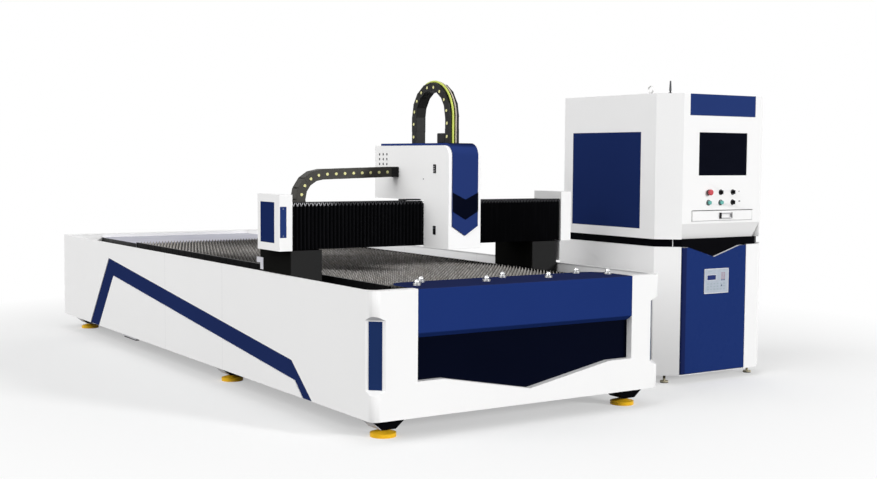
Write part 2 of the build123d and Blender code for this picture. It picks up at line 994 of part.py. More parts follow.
screw_y = plate_span[0] - screw_setback
z_rail_places = [head_middle - z_rail_spread / 2, head_middle + z_rail_spread / 2]
with BuildPart() as z_actuator:
    half = z_motor_size / 2
    motor_span = (z_motor_low, z_motor_low + z_motor_height)
    block((head_middle - half, head_middle + half), (plate_span[0] - z_motor_size, plate_span[0]), motor_span)
    with BuildSketch(from_above(screw_low)):
        with Locations((head_middle, screw_y)):
            Circle(screw_diameter / 2)
    extrude(amount=z_motor_low - screw_low)
    for x in z_rail_places:
        block(
            (x - z_rail_size / 2, x + z_rail_size / 2),
            (plate_span[0] - z_rail_size, plate_span[0]),
            (z_rail_low, z_rail_high),
        )

slide_back = plate_span[0] - z_rail_size - block_cap
slide_front = slide_back - slide_thickness
with BuildPart() as z_slide:
    block(
        (head_middle - slide_width / 2, head_middle + slide_width / 2),
        (slide_front, slide_back),
        (slide_low, slide_high),
    )
    for x in z_rail_places:
        block(
            (x - slide_block_width / 2, x + slide_block_width / 2),
            (slide_back, slide_back + slide_block_depth),
            (slide_high - slide_block, slide_high),
        )
        block(
            (x - z_rail_size / 2 - running_gap, x + z_rail_size / 2 + running_gap),
            (plate_span[0] - z_rail_size - running_gap, plate_span[0]),
            (slide_low, slide_high + overrun),
            mode=Mode.SUBTRACT,
        )
    nut_half = screw_diameter
    block(
        (head_middle - nut_half, head_middle + nut_half),
        (slide_back, slide_back + slide_block_depth),
        (slide_high - slide_block / 2, slide_high),
    )
    with Locations((head_middle, screw_y, slide_high)):
        Cylinder(screw_diameter / 2 + running_gap, 2 * slide_block, mode=Mode.SUBTRACT)

# Cutting head

torch_y = slide_front - torch_depth / 2
with BuildPart() as cutting_head_body:
    with BuildSketch(from_above(torch_low)):
        with Locations((head_middle, torch_y)):
            RectangleRounded(torch_size, torch_depth, fold_radius)
    extrude(amount=torch_high - torch_low)
    with BuildSketch(from_above(torch_high)):
        with Locations((head_middle, torch_y)):
            Circle(collimator_diameter / 2)
    extrude(amount=collimator_top - torch_high)
    with BuildSketch(from_front(torch_y)):
        Polygon(
            (head_middle, torch_low),
            (head_middle + lens_tube_diameter / 2, torch_low),
            (head_middle + lens_tube_diameter / 2, lens_tube_low),
            (head_middle + cone_diameter / 2, cone_low),
            (head_middle, cone_low),
            align=None,
        )
    revolve(axis=Axis((head_middle, torch_y, 0), (0, 0, 1)))

with BuildPart() as nozzle:
    with BuildSketch(from_front(torch_y)):
        Polygon(
            (head_middle, cone_low),
            (head_middle + nozzle_diameter / 2, cone_low),
            (head_middle + nozzle_diameter / 2, (cone_low + nozzle_low) / 2),
            (head_middle + nozzle_tip_diameter / 2, nozzle_low),
            (head_middle, nozzle_low),
            align=None,
        )
    revolve(axis=Axis((head_middle, torch_y, 0), (0, 0, 1)))

# Energy chains: straight links with mitred ends, hinged along a run, a half turn and a second run


def run_points(start, end, link_length):
    """Hinge points of a straight run, without its last one."""
    count = max(1, round((end - start).length / link_length))
    return [start + (end - start) * (i / count) for i in range(count)]


def bend_points(centre, arm, link_length):
    """Hinge points of a half turn about a centre, without its last one."""
    count = max(3, round(pi * arm.length / link_length))
    return [centre + arm.rotate(Axis.Z, -180 * i / count) for i in range(count)]


def hairpin(start, centre, arm, end, link_length):
    """Hinge points of a chain that runs up to its bend, round it and back."""
    there = run_points(start, centre + arm, link_length)
    back = run_points(centre - arm, end, link_length)
    return there + bend_points(centre, arm, link_length) + back + [end]


def link_outlines(points, thickness, shrink):
    """Four-sided outline of each link between two hinge points."""
    sides = []
    for start, end in zip(points, points[1:]):
        along = (end - start).normalized()
        sides.append(Vector(-along.Y, along.X))
    mitres = []
    for before, after in zip(sides[:1] + sides, sides + sides[-1:]):
        mitres.append((before + after) * (thickness / 2 / (1 + before.dot(after))))
    outlines = []
    for i, side in enumerate(sides):
        gap = Vector(side.Y, -side.X) * shrink
        start = points[i] + gap
        end = points[i + 1] - gap
        outlines.append((start + mitres[i], end + mitres[i + 1], end - mitres[i + 1], start - mitres[i]))
    return outlines


def chain(plane, points, thickness, width):
    """Open links of a chain whose near side lies on a plane."""
    with BuildSketch(plane) as link_sides:
        for outline in link_outlines(points, thickness, link_gap / 2):
            Polygon(*outline, align=None)
    extrude(link_sides.sketch, amount=width)
    with BuildSketch(plane.offset(link_wall)) as link_hollows:
        for outline in link_outlines(points, thickness - 2 * link_wall, -link_gap):
            Polygon(*outline, align=None)
    extrude(link_hollows.sketch, amount=width - 2 * link_wall, mode=Mode.SUBTRACT)


x_chain_radius = (x_chain_top - x_chain_low - x_chain_thickness) / 2
x_chain_points = hairpin(
    start=Vector(bed_left + x_chain_fixed_end, x_chain_low + x_chain_thickness / 2),
    centre=Vector(
        bed_left + x_chain_left + x_chain_thickness / 2 + x_chain_radius, (x_chain_low + x_chain_top) / 2
    ),
    arm=Vector(0, -x_chain_radius),
    end=Vector(head_left, x_chain_top - x_chain_thickness / 2),
    link_length=x_link_length,
)
with BuildPart() as x_chain:
    chain(from_front(ledge_back), x_chain_points, x_chain_thickness, x_chain_width)

z_chain_low = head_top + wrap_rise
z_chain_radius = (z_chain_back - z_chain_front - z_chain_thickness) / 2
z_chain_middle = bed_front + (z_chain_front + z_chain_back) / 2
z_bend_height = z_chain_crown - z_chain_radius - z_chain_thickness / 2
z_chain_points = hairpin(
    start=Vector(z_chain_middle - z_chain_radius, z_chain_low),
    centre=Vector(z_chain_middle, z_bend_height),
    arm=Vector(-z_chain_radius, 0),
    end=Vector(z_chain_middle + z_chain_radius, z_chain_low),
    link_length=z_link_length,
)
z_chain_left = head_middle - z_chain_width / 2
with BuildPart() as z_chain:
    chain(from_left(z_chain_left), z_chain_points, z_chain_thickness, z_chain_width)
    clamp_front = bed_front + z_chain_front + z_chain_thickness + link_gap
    block(
        (z_chain_left, z_chain_left + z_chain_width),
        (clamp_front, clamp_front + clamp_depth),
        (z_chain_low, z_chain_low + clamp_height),
    )

# Laser fiber and gas hose on the outside of the arch


def arch_line(x, diameter):
    """A round line that lies along the outside of the arch."""
    reach = (z_chain_back - z_chain_front) / 2 + link_gap + diameter / 2
    foot = Plane(origin=(x, z_chain_middle - reach, z_chain_low), z_dir=(0, 0, 1))
    with BuildLine(from_left(x)) as route:
        Line((z_chain_middle - reach, z_chain_low), (z_chain_middle - reach, z_bend_height))
        CenterArc((z_chain_middle, z_bend_height), reach, 180, -180)
        Line((z_chain_middle + reach, z_bend_height), (z_chain_middle + reach, z_chain_low))
    with BuildSketch(foot) as section:
        Circle(diameter / 2)
    sweep(section.sketch, path=route.wire())


with BuildPart() as fiber_lines:
    arch_line(head_middle - fiber_diameter, fiber_diameter)
    arch_line(head_middle + hose_diameter, hose_diameter)

# Control cabinet shells


def cabinet_plan(inset, back_depth):
    """Plan of the cabinet with its two cut front corners, set in from the outline."""
    left = cabinet_left + inset
    right = cabinet_left + cabinet_width - inset
    front = cabinet_front + inset
    back = cabinet_front + back_depth - inset
    Polygon(
        (left, back),
        (left, front + corner_cut_y),
        (left + corner_cut_x, front),
        (right - corner_cut_x, front),
        (right, front + corner_cut_y),
        (right, back),
        align=None,
    )


cabinet_right = cabinet_left + cabinet_width
cabinet_middle = (cabinet_left + cabinet_right) / 2
base_depth = cabinet_depth + base_extra_depth
door_x = cabinet_left + door_left
door_right = door_x + door_width
door_middle = (door_x + door_right) / 2
door_back = cabinet_front + door_thickness
door_top = band_low - door_gap
with BuildPart() as cabinet_base:
    with BuildSketch(from_above(shell_low)):
        cabinet_plan(0, base_depth)
    extrude(amount=band_low - shell_low)
    with BuildSketch(from_above(shell_low + cabinet_sheet)):
        cabinet_plan(cabinet_sheet, base_depth)
    extrude(amount=band_low - shell_low - 2 * cabinet_sheet, mode=Mode.SUBTRACT)
    block(
        (door_x, door_right + door_gap),
        (cabinet_front - overrun, door_back + overrun),
        (shell_low + cabinet_sheet, band_low + overrun),
        mode=Mode.SUBTRACT,
    )

with BuildPart() as cabinet_band:
    with BuildSketch(from_above(band_low)):
        cabinet_plan(band_inset, base_depth)
    extrude(amount=band_high - band_low)
    with BuildSketch(from_front(door_back + trim + sheet)):
        apron_height = notch_drop + overrun
        with Locations((door_middle, band_low - apron_height / 2)):
            Rectangle(2 * notch_half_width + 2 * overrun, apron_height)
    extrude(amount=sheet)

with BuildPart() as cabinet_upper:
    with BuildSketch(from_above(band_high)):
        cabinet_plan(0, cabinet_depth)
    extrude(amount=cabinet_height - band_high)
    with BuildSketch(from_left(cabinet_left + corner_cut_x)):
        Polygon(
            (cabinet_front - overrun, band_high - overrun),
            (cabinet_front + chin_depth, band_high - overrun),
            (cabinet_front + chin_depth, band_high),
            (cabinet_front, band_high + chin_height),
            (cabinet_front - overrun, band_high + chin_height),
            align=None,
        )
    extrude(amount=cabinet_width - 2 * corner_cut_x, mode=Mode.SUBTRACT)
    offset(amount=-cabinet_sheet, openings=cabinet_upper.faces().sort_by(Axis.Z)[0])
    with BuildSketch(from_above(band_high)):
        cabinet_plan(trim, cabinet_depth)
        with Locations((cabinet_middle, cabinet_front + chin_depth / 2)):
            Rectangle(cabinet_width - 2 * corner_cut_x, chin_depth, mode=Mode.SUBTRACT)
    extrude(amount=cabinet_sheet)
    runner_low = drawer_low + runner_height / 2
    for runner_x in (drawer_left - runner_width, drawer_left + drawer_width):
        block(
            (cabinet_left + runner_x, cabinet_left + runner_x + runner_width),
            (cabinet_front + cabinet_sheet, cabinet_front + drawer_depth),
            (runner_low, runner_low + runner_height),
        )
    front_hole = (cabinet_front - overrun, cabinet_front + cabinet_sheet)
    block(
        (cabinet_left + drawer_left, cabinet_left + drawer_left + drawer_width),
        front_hole,
        (drawer_low, drawer_low + drawer_height),
        mode=Mode.SUBTRACT,
    )
    block(
        (cabinet_left + screen_left, cabinet_left + screen_left + screen_width),
        front_hole,
        (screen_low, screen_low + screen_height),
        mode=Mode.SUBTRACT,
    )
    with BuildSketch(from_front(cabinet_front + cabinet_sheet)):
        with Locations(*[(cabinet_left + x, z) for x in control_columns for z in (upper_row, lower_row)]):
            Circle(stem_diameter / 2 + running_gap)
    extrude(amount=cabinet_sheet, mode=Mode.SUBTRACT)
    header_span = (cabinet_left + header_left, cabinet_left + header_left + header_width)
    block(
        header_span,
        (cabinet_front, cabinet_front + trim),
        (cabinet_height - header_height, cabinet_height),
        mode=Mode.SUBTRACT,
    )
    side_span = (cabinet_front + side_panel_front, cabinet_front + side_panel_front + side_panel_width)
    side_rise = (side_panel_low, side_panel_low + side_panel_height)
    block((cabinet_left, cabinet_left + trim), side_span, side_rise, mode=Mode.SUBTRACT)
    block((cabinet_right - trim, cabinet_right), side_span, side_rise, mode=Mode.SUBTRACT)

with BuildPart() as cabinet_panels:
    header_rise = (cabinet_height - header_height, cabinet_height)
    block(header_span, (cabinet_front, cabinet_front + trim), header_rise)
    block((cabinet_left, cabinet_left + trim), side_span, side_rise)
    block((cabinet_right - trim, cabinet_right), side_span, side_rise)

# Lower door on two pivot pins, with its display

with BuildPart() as lower_door:
    with BuildSketch(from_front(door_back)):
        Polygon(
            (door_x + trim, door_low),
            (door_right, door_low),
            (door_right, door_top),
            (door_middle + notch_half_width, door_top),
            (door_middle, door_top - notch_drop),
            (door_middle - notch_half_width, door_top),
            (door_x + trim, door_top),
            align=None,
        )
    extrude(amount=door_thickness)
    chamfer(lower_door.edges().filter_by(Axis.Z).group_by(Axis.X)[0].sort_by(Axis.Y)[0], door_bevel)
    pin_x = door_right - pin_inset
    pin_y = cabinet_front + door_thickness / 2
    for height in (door_low, door_top):
        with Locations((pin_x, pin_y, height)):
            Cylinder(pin_diameter / 2 + pin_play, 2 * pin_length, mode=Mode.SUBTRACT)

with BuildPart() as door_hinges:
    floor = shell_low + cabinet_sheet
    with BuildSketch(from_above(floor)):
        with Locations((pin_x, pin_y)):
            Circle(pin_diameter / 2)
    extrude(amount=pin_length)
    with BuildSketch(from_above(band_low - pin_length)):
        with Locations((pin_x, pin_y)):
            Circle(pin_diameter / 2)
    extrude(amount=pin_length)
    block(
        (pin_x - pin_diameter, door_right + door_gap),
        (cabinet_front, door_back),
        (door_top + running_gap, band_low),
    )

with BuildPart() as door_display:
    keypad_x = cabinet_left + keypad_left
    block(
        (keypad_x, keypad_x + keypad_width),
        (cabinet_front - keypad_thickness, cabinet_front),
        (keypad_low, keypad_low + keypad_height),
    )
    fillet(door_display.edges().filter_by(Axis.Y), keypad_thickness)

# Screen, keyboard drawer and its handle

with BuildPart() as monitor:
    screen_x = cabinet_left + screen_left
    block(
        (screen_x + running_gap, screen_x + screen_width - running_gap),
        (cabinet_front + screen_lip, cabinet_front + cabinet_sheet),
        (screen_low + running_gap, screen_low + screen_height - running_gap),
    )
    block(
        (screen_x - bezel, screen_x + screen_width + bezel),
        (cabinet_front + cabinet_sheet, cabinet_front + monitor_depth),
        (screen_low - bezel, screen_low + screen_height + bezel),
    )

drawer_x = cabinet_left + drawer_left
tray_front = cabinet_front + drawer_face
drawer_sill = drawer_low + drawer_gap
drawer_rim = drawer_low + drawer_height - runner_height
with BuildPart() as keyboard_drawer:
    block(
        (drawer_x + drawer_gap, drawer_x + drawer_width - drawer_gap),
        (cabinet_front, tray_front),
        (drawer_sill, drawer_low + drawer_height - drawer_gap),
    )
    block(
        (drawer_x + running_gap, drawer_x + drawer_width - running_gap),
        (tray_front, cabinet_front + drawer_depth),
        (drawer_sill, drawer_rim),
    )
    block(
        (drawer_x + running_gap + drawer_wall, drawer_x + drawer_width - running_gap - drawer_wall),
        (tray_front + drawer_wall, cabinet_front + drawer_depth - drawer_wall),
        (drawer_sill + drawer_wall, drawer_rim + overrun),
        mode=Mode.SUBTRACT,
    )

with BuildPart() as drawer_handle:
    with BuildSketch(from_front(cabinet_front)):
        handle_x = drawer_x + handle_left + handle_width / 2
        with Locations((handle_x, drawer_low + drawer_height / 2)):
            Rectangle(handle_width, handle_height)
            Rectangle(handle_width - 2 * handle_bar, handle_height - 2 * handle_bar, mode=Mode.SUBTRACT)
    extrude(amount=handle_thickness)

# Operating controls


def stem(x, z):
    """Round stem through the front panel, up to the panel's face."""
    with BuildSketch(from_front(cabinet_front + stem_length)) as section:
        with Locations((cabinet_left + x, z)):
            Circle(stem_diameter / 2)
    extrude(section.sketch, amount=stem_length)


def cap(x, z, diameter, near, height):
    """Round cap on a stem, from its near face outwards."""
    with BuildSketch(from_front(cabinet_front - near)) as section:
        with Locations((cabinet_left + x, z)):
            Circle(diameter / 2)
    extrude(section.sketch, amount=height)


def push_button(x, z):
    """Flat push button that stands off the panel by its travel."""
    stem(x, z)
    cap(x, z, stem_diameter, 0, button_standoff)
    cap(x, z, button_diameter, button_standoff / 2, button_standoff)


def selector(x, z):
    """Turn switch with a raised grip."""
    stem(x, z)
    cap(x, z, stem_diameter, 0, knob_height)
    cap(x, z, knob_diameter, running_gap, knob_height)
    grip_face = cabinet_front - running_gap - knob_height
    block(
        (cabinet_left + x - knob_grip / 2, cabinet_left + x + knob_grip / 2),
        (grip_face - knob_grip_height, grip_face),
        (z - knob_diameter / 2, z + knob_diameter / 2),
    )


with BuildPart() as stop_button:
    stem(control_columns[0], upper_row)
    cap(control_columns[0], upper_row, stem_diameter, 0, mushroom_standoff)
    cap(control_columns[0], upper_row, mushroom_diameter, mushroom_standoff, mushroom_height)
    fillet(stop_button.faces().sort_by(Axis.Y)[0].edges(), mushroom_height / 2)
with BuildPart() as start_button:
    push_button(control_columns[0], lower_row)
with BuildPart() as reset_button:
    push_button(control_columns[1], lower_row)
with BuildPart() as power_selector:
    selector(control_columns[1], upper_row)
with BuildPart() as mode_selector:
    selector(control_columns[2], upper_row)
with BuildPart() as light_selector:
    selector(control_columns[2], lower_row)

# Cabinet fittings

eye_places = [
    (cabinet_left + eye_inset, cabinet_front + eye_setback),
    (cabinet_right - eye_inset, cabinet_front + cabinet_depth - eye_setback),
]
eye_height = cabinet_height + eye_wire / 2 + eye_ring / 2
with BuildPart() as lifting_eyes:
    with Locations(*[Location((x, y, eye_height), (0, 90, 0)) for x, y in eye_places]):
        Torus(eye_ring / 2, eye_wire / 2)
    with Locations(*[(x, y, cabinet_height) for x, y in eye_places]):
        Cylinder(eye_wire, eye_wire / 2, align=(Align.CENTER, Align.CENTER, Align.MIN))

with BuildPart() as antenna:
    with Locations((cabinet_left + antenna_left, cabinet_front + antenna_setback, cabinet_height)):
        Cylinder(antenna_base, antenna_base / 2, align=(Align.CENTER, Align.CENTER, Align.MIN))
        Cone(antenna_base / 2, antenna_tip / 2, antenna_height, align=(Align.CENTER, Align.CENTER, Align.MIN))

with BuildPart() as cabinet_feet:
    foot_left = cabinet_left + cabinet_foot_inset
    foot_right = cabinet_right - cabinet_foot_inset
    foot_front = cabinet_front + cabinet_foot_inset
    foot_back = cabinet_front + cabinet_depth - cabinet_foot_inset
    with Locations(*[(x, y, 0) for x in (foot_left, foot_right) for y in (foot_front, foot_back)]):
        Cylinder(cabinet_foot_diameter / 2, cabinet_foot_pad, align=(Align.CENTER, Align.CENTER, Align.MIN))
        Cylinder(cabinet_foot_stud / 2, shell_low, align=(Align.CENTER, Align.CENTER, Align.MIN))

with BuildPart() as laser_source:
    source_front = cabinet_front + (cabinet_depth - source_depth) / 2
    source_low = shell_low + cabinet_sheet
    with Locations((cabinet_middle, source_front + source_depth / 2, source_low)):
        Box(source_width, source_depth, source_height, align=(Align.CENTER, Align.CENTER, Align.MIN))
    chamfer(laser_source.edges().filter_by(Axis.Y), source_rib)
    with BuildSketch(from_front(source_front)):
        with Locations((cabinet_middle, source_low + source_height / 2)):
            with GridLocations(0, 4 * source_rib, 1, 5):
                Rectangle(source_width / 2, source_rib)
    extrude(amount=-source_rib, mode=Mode.SUBTRACT)

# One file for each piece

pieces = {
    "side_frames": side_frames,
    "cross_members": cross_members,
    "slag_tray": slag_tray,
    "slat_holders": slat_holders,
    "slats": slats,
    "y_guides": y_guides,
    "foot_brackets": foot_brackets,
    "levelling_feet": levelling_feet,
    "side_covers": side_covers,
    "front_cover": front_cover,
    "rear_cover": rear_cover,
    "front_panel": front_panel,
    "front_recess_panel": front_recess_panel,
    "blue_stripes": blue_stripes,
    "ball_cups": ball_cups,
    "transfer_balls": transfer_balls,
    "left_leg": left_leg,
    "right_leg": right_leg,
    "y_blocks": y_blocks,
    "beam": beam,
    "end_boxes": end_boxes,
    "end_box_panels": end_box_panels,
    "y_drives": y_drives,
    "x_guides": x_guides,
    "left_bellows": left_bellows,
    "right_bellows": right_bellows,
    "carriage_plate": carriage_plate,
    "x_blocks": x_blocks,
    "head_cover": head_cover,
    "head_front_panel": head_front_panel,
    "head_chevron": head_chevron,
    "head_sockets": head_sockets,
    "x_drive": x_drive,
    "z_actuator": z_actuator,
    "z_slide": z_slide,
    "cutting_head_body": cutting_head_body,
    "nozzle": nozzle,
    "x_chain": x_chain,
    "z_chain": z_chain,
    "fiber_lines": fiber_lines,
    "cabinet_base": cabinet_base,
    "cabinet_band": cabinet_band,
    "cabinet_upper": cabinet_upper,
    "cabinet_panels": cabinet_panels,
    "lower_door": lower_door,
    "door_hinges": door_hinges,
    "door_display": door_display,
    "monitor": monitor,
    "keyboard_drawer": keyboard_drawer,
    "drawer_handle": drawer_handle,
    "stop_button": stop_button,
    "start_button": start_button,
    "reset_button": reset_button,
    "power_selector": power_selector,
    "mode_selector": mode_selector,
    "light_selector": light_selector,
    "lifting_eyes": lifting_eyes,
    "antenna": antenna,
    "cabinet_feet": cabinet_feet,
    "laser_source": laser_source,
}

os.makedirs("parts", exist_ok=True)
for name, piece in pieces.items():
    piece.part.label = name
    export_step(piece.part, f"parts/{name}.step")
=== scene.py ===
import math

import bmesh
import bpy
from mathutils import Matrix, Vector


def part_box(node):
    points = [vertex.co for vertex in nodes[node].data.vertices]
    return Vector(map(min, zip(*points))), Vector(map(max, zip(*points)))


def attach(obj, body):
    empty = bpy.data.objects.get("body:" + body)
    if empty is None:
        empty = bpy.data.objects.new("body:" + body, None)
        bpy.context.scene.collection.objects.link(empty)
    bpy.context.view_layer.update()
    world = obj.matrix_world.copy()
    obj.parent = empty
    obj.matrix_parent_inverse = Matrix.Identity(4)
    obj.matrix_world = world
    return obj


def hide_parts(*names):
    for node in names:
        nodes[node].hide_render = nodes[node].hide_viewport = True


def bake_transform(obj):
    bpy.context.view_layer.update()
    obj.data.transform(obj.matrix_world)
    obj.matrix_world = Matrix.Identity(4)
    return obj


# Fiber laser cutting machine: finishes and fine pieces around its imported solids, in metres

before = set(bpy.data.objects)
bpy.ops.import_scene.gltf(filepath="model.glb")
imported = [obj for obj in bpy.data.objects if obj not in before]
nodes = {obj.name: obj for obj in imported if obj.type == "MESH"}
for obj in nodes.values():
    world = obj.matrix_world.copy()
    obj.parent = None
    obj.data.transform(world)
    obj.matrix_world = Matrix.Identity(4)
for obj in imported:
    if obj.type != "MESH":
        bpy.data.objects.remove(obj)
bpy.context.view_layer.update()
scene = bpy.context.scene

# Camera, solved from the straight edges of the bed
camera_place = Vector((-5.0451, -8.4111, 1.5222))
camera_turn = math.radians(33.236)
camera_pitch = math.radians(3.734)
camera_roll = math.radians(-0.375)
focal_pixels = 1249.52
image_width = 877
sensor_width = 36.0

# Light and floor
ambient_level = 0.42
key_level = 2.45
key_direction = Vector((-0.5, 1.0, -0.31))
key_spread = math.radians(9)
fill_level = 2.0
fill_direction = Vector((1.0, 0.0, -0.5))
fill_spread = math.radians(60)
floor_colour = (0.94, 0.945, 0.945)
floor_rough = 0.9
floor_bounce = 0.3
floor_glow = 0.40
floor_half = 40.0
floor_fade = (2.9, 5.2)

# Powder coat: clouds, changes of gloss and orange peel
cloud_scale = 1.6
gloss_scale = 7.0
peel_scale = 420.0
peel_depth = 0.00008
tone_share = 0.88
coat_white = (0.87, 0.868, 0.866)
white_rough = (0.34, 0.46)

# Moulded plastic
mould_tint_scale = 40.0
mould_tint_share = 1.25
mould_gloss_scale = 90.0
mould_grain_scale = 900.0
mould_grain_depth = 0.00006

# Bare metal
metal_shade_share = 0.8
tool_mark_depth = 0.00004

# Screen
smear_scale = 6.0
smear_stretch = (1, 1, 2.2)

# Pieces of several colours
soil_colour = (0.004, 0.004, 0.004)
soil_scale = 30.0
soil_share = 0.12
band_gloss_scale = 60.0
band_grain_scale = 500.0
band_grain_depth = 0.00005
pad_top = 0.0365
foot_rubber_top = 0.005
foot_pad_top = 0.03
handle_end = 0.008
cable_shift = 0.002

# Sheet metal: broken edges, cover joints, the deck's lap and the width of the strip at the door's left edge
# painted darker as the shade of its fold
edge_radius = 0.0012
edge_weld = 0.00002
edge_angle = math.radians(40)
cover_seams = (-0.777, 0.254)
seam_half = 0.0012
deck_lap = (0.005, 0.004)
door_fold_shade_width = (0.046, 0.052)
trim_edge = 0.0005

# Energy chains
x_link_length = 0.063
z_link_length = 0.080
link_tuck = 0.0009
plate_lap = 1.18
plate_wall = 0.006
plate_edge = 0.0012
bar_lap = 1.1
bar_wall = 0.005
bar_edge = 0.001
lining_lap = 1.25
lining_inset_share = 1.4
lining_height_share = 0.72
lining_wall_share = 0.8
pin_radius = 0.0095
pin_height = 0.002
pin_edge = 0.0008
x_chain_thickness = 0.066
x_chain_sag = 0.015
x_chain_end = 0.055
x_chain_end_edge = 0.002
rib_depth = 0.006
z_chain_thickness = 0.050
clamp_length = 0.090
clamp_height = 0.063
clamp_gap = 0.0005
clamp_edge = 0.004

# Bellows
pleat_count = 36
pleat_depth = 0.022
pleat_cloth = 0.002
flap_drop = 0.007
# Pale bars at the pleats' top corners, as painted highlights
mark_height = 0.023
mark_width = 0.004
mark_sheet = 0.001
mark_spread = 0.38
highlight_fade = (-1.52, -1.40)
chafe_scale = 60.0
chafe_stretch = (1, 1, 0.06)
weave_scale = 700.0
weave_depth = 0.0002

# Slats
slat_thickness = 0.004
slat_rows = 63
slat_teeth = 52
tooth_depth = 0.028
holder_width = 0.017
root_shade_depth = 0.034
tip_band_depth = 0.006
front_darkening_run = (-1.9, 1.0)
streak_scale = 26.0
streak_stretch = (1, 1, 0.25)
tarnish_scale = 5.0
crust_scale = 180.0
crust_depth = 0.0003

# Keypad on the door: places from its middle, and sizes, counts and pitches across and down
keypad_rim = 0.004
key_depth = 0.0012
window_depth = 0.0022
window_place = (-0.0485, 0.025)
window_frame = (0.088, 0.039)
window_size = (0.081, 0.033)
side_key_size = (0.013, 0.007)
side_key_pitch = (0.020, 0.0098)
red_key_place = (0.0525, 0.0535)
red_key_count = (2, 5)
blue_key_place = (0.0525, 0.0045)
blue_key_count = (2, 1)
lamp_place = (0.0185, 0.0475)
lamp_size = (0.006, 0.005)
lamp_count = (1, 4)
lamp_pitch = (0, 0.012)
gray_key_place = (-0.0815, -0.0185)
gray_key_size = (0.017, 0.009)
gray_key_count = (6, 3)
gray_key_pitch = (0.031, 0.019)
menu_key_place = (0.0485, -0.0335)
menu_key_size = (0.010, 0.010)
long_key_place = (-0.0635, 0.0665)
long_key_size = (0.040, 0.006)

# Controls of the cabinet: places from the selectors' middles
collar_inner = 0.0145
collar_outer = 0.019
collar_height = 0.003
ring_chamfer_share = 0.3
indicator_shift = (0.062, 0.005)
indicator_radius = 0.004
indicator_height = 0.002
small_plate_shift = (0.067, 0.007)
small_plate = (0.016, 0.002, 0.007)

# Painted shadow of the gap around the keyboard drawer, and a pale line under it
gap_sheet = 0.0008
gap_line = 0.003
gap_pale_line = 0.0022
gap_rise = 0.0045
gap_side = 0.0035
gap_overrun = (0.010, 0.012)

# Screws of the left end box, from the corners of its panels
strip_screw_inset = 0.025
strip_screw_rise = 0.045
strip_screw_drop = 0.038
screw_radius = 0.0035
screw_height = 0.002
screw_edge = 0.0006

# Fittings of the carriage cover, from the sockets, the cover and the bellows
contact_size = (0.002, 0.012, 0.004)
contact_pitch = 0.014
contact_drop = 0.027
contact_shift = 0.003
latch_size = (0.002, 0.008, 0.006)
latch_rise = 0.040
plug_radius = 0.004
plug_height = 0.003
plug_back = 0.288
plug_drop = 0.211
side_plate_size = Vector((0.130, 0.060, 0.009))
side_plate_gap = 0.001
side_plate_back = 0.060
side_plate_edge = 0.001
vent_size = (0.001, 0.015, 0.015)
vent_pitch = (0.047, 0.032)
vent_inset = 0.0016
vent_front = 0.105
vent_drop = 0.088

# Sensor bracket: size of each plate, and its place from the left leg's upper back corner
bracket_plates = (
    ((0.0025, 0.094, 0.034), (-0.0014, -0.005, -0.081)),
    ((0.0025, 0.042, 0.040), (-0.0014, -0.031, -0.118)),
    ((0.040, 0.003, 0.034), (0.018, 0.0405, -0.081)),
)
bracket_edge = 0.0008

# Bed: gussets of the feet, fork pockets and the ends of the rail channels
gusset_span = 0.0825
gusset_width = 0.130
gusset_sheet = 0.003
gusset_share = 0.92
gusset_shift = 0.002
gusset_seat = 0.0025
gusset_edge = 0.0008
gusset_middle = -0.5775
pocket_lip = (0.035, 0.300, 0.018)
pocket_mouth_shade = (0.030, 0.260, 0.010)
pocket_middle = 1.085
pocket_inset = 0.040
lip_drop = 0.011
mouth_drop = 0.024
pocket_edge = 0.002
end_plate_width = 0.308
end_plate_sheet = 0.002
end_plate_inset = 0.003
end_plate_drop = 0.004

# Cabinet: louvres, aerial and the bright line on the band
louvre_rows = 12
louvre_size = (0.24, 0.006, 0.014)
louvre_pitch = 0.028
louvre_rise = 0.265
louvre_spread = 0.21
louvre_lean = math.radians(-14)
louvre_edge = 0.0015
sleeve_foot = 0.0085
sleeve_tip = 0.005
sleeve_height = 0.066
bright_line_size = (0.005, 0.002, 0.050)
bright_line_right = 0.0957
bright_line_back = 0.0375
bright_line_drop = 0.026
bright_line_slant = math.atan2(-0.115, 0.142)


# Nodes of the surfaces


def new_surface(name):
    """A material with its node tree, its shader and the coordinates of the piece."""
    material = bpy.data.materials.new(name)
    material.use_nodes = True
    tree = material.node_tree
    place = tree.nodes.new("ShaderNodeTexCoord").outputs["Object"]
    return material, tree, tree.nodes["Principled BSDF"], place


def noise(tree, place, scale, stretch=(1, 1, 1), detail=3.0):
    """Noise over the piece, with its grain stretched along the axes."""
    mapping = tree.nodes.new("ShaderNodeMapping")
    mapping.inputs["Scale"].default_value = stretch
    tree.links.new(place, mapping.inputs["Vector"])
    field = tree.nodes.new("ShaderNodeTexNoise")
    field.inputs["Scale"].default_value = scale
    field.inputs["Detail"].default_value = detail
    tree.links.new(mapping.outputs["Vector"], field.inputs["Vector"])
    return field.outputs["Fac"]


def remap(tree, value, low, high, start=0.3, end=0.7):
    """A value between start and end, carried over to low and high."""
    node = tree.nodes.new("ShaderNodeMapRange")
    for socket, number in (("From Min", start), ("From Max", end), ("To Min", low), ("To Max", high)):
        node.inputs[socket].default_value = number
    tree.links.new(value, node.inputs["Value"])
    return node.outputs["Result"]


def mix(tree, share, first, second):
    """Two colours, each a triple or a socket, mixed by a share."""
    node = tree.nodes.new("ShaderNodeMix")
    node.data_type = "RGBA"
    tree.links.new(share, node.inputs[0])
    for socket, colour in ((node.inputs[6], first), (node.inputs[7], second)):
        if isinstance(colour, tuple):
            socket.default_value = (*colour, 1)
        else:
            tree.links.new(colour, socket)
    return node.outputs[2]


def maths(tree, operation, *values):
    """One operation on values, each a number or a socket."""
    node = tree.nodes.new("ShaderNodeMath")
    node.operation = operation
    for socket, value in zip(node.inputs, values):
        if isinstance(value, float):
            socket.default_value = value
        else:
            tree.links.new(value, socket)
    return node.outputs["Value"]


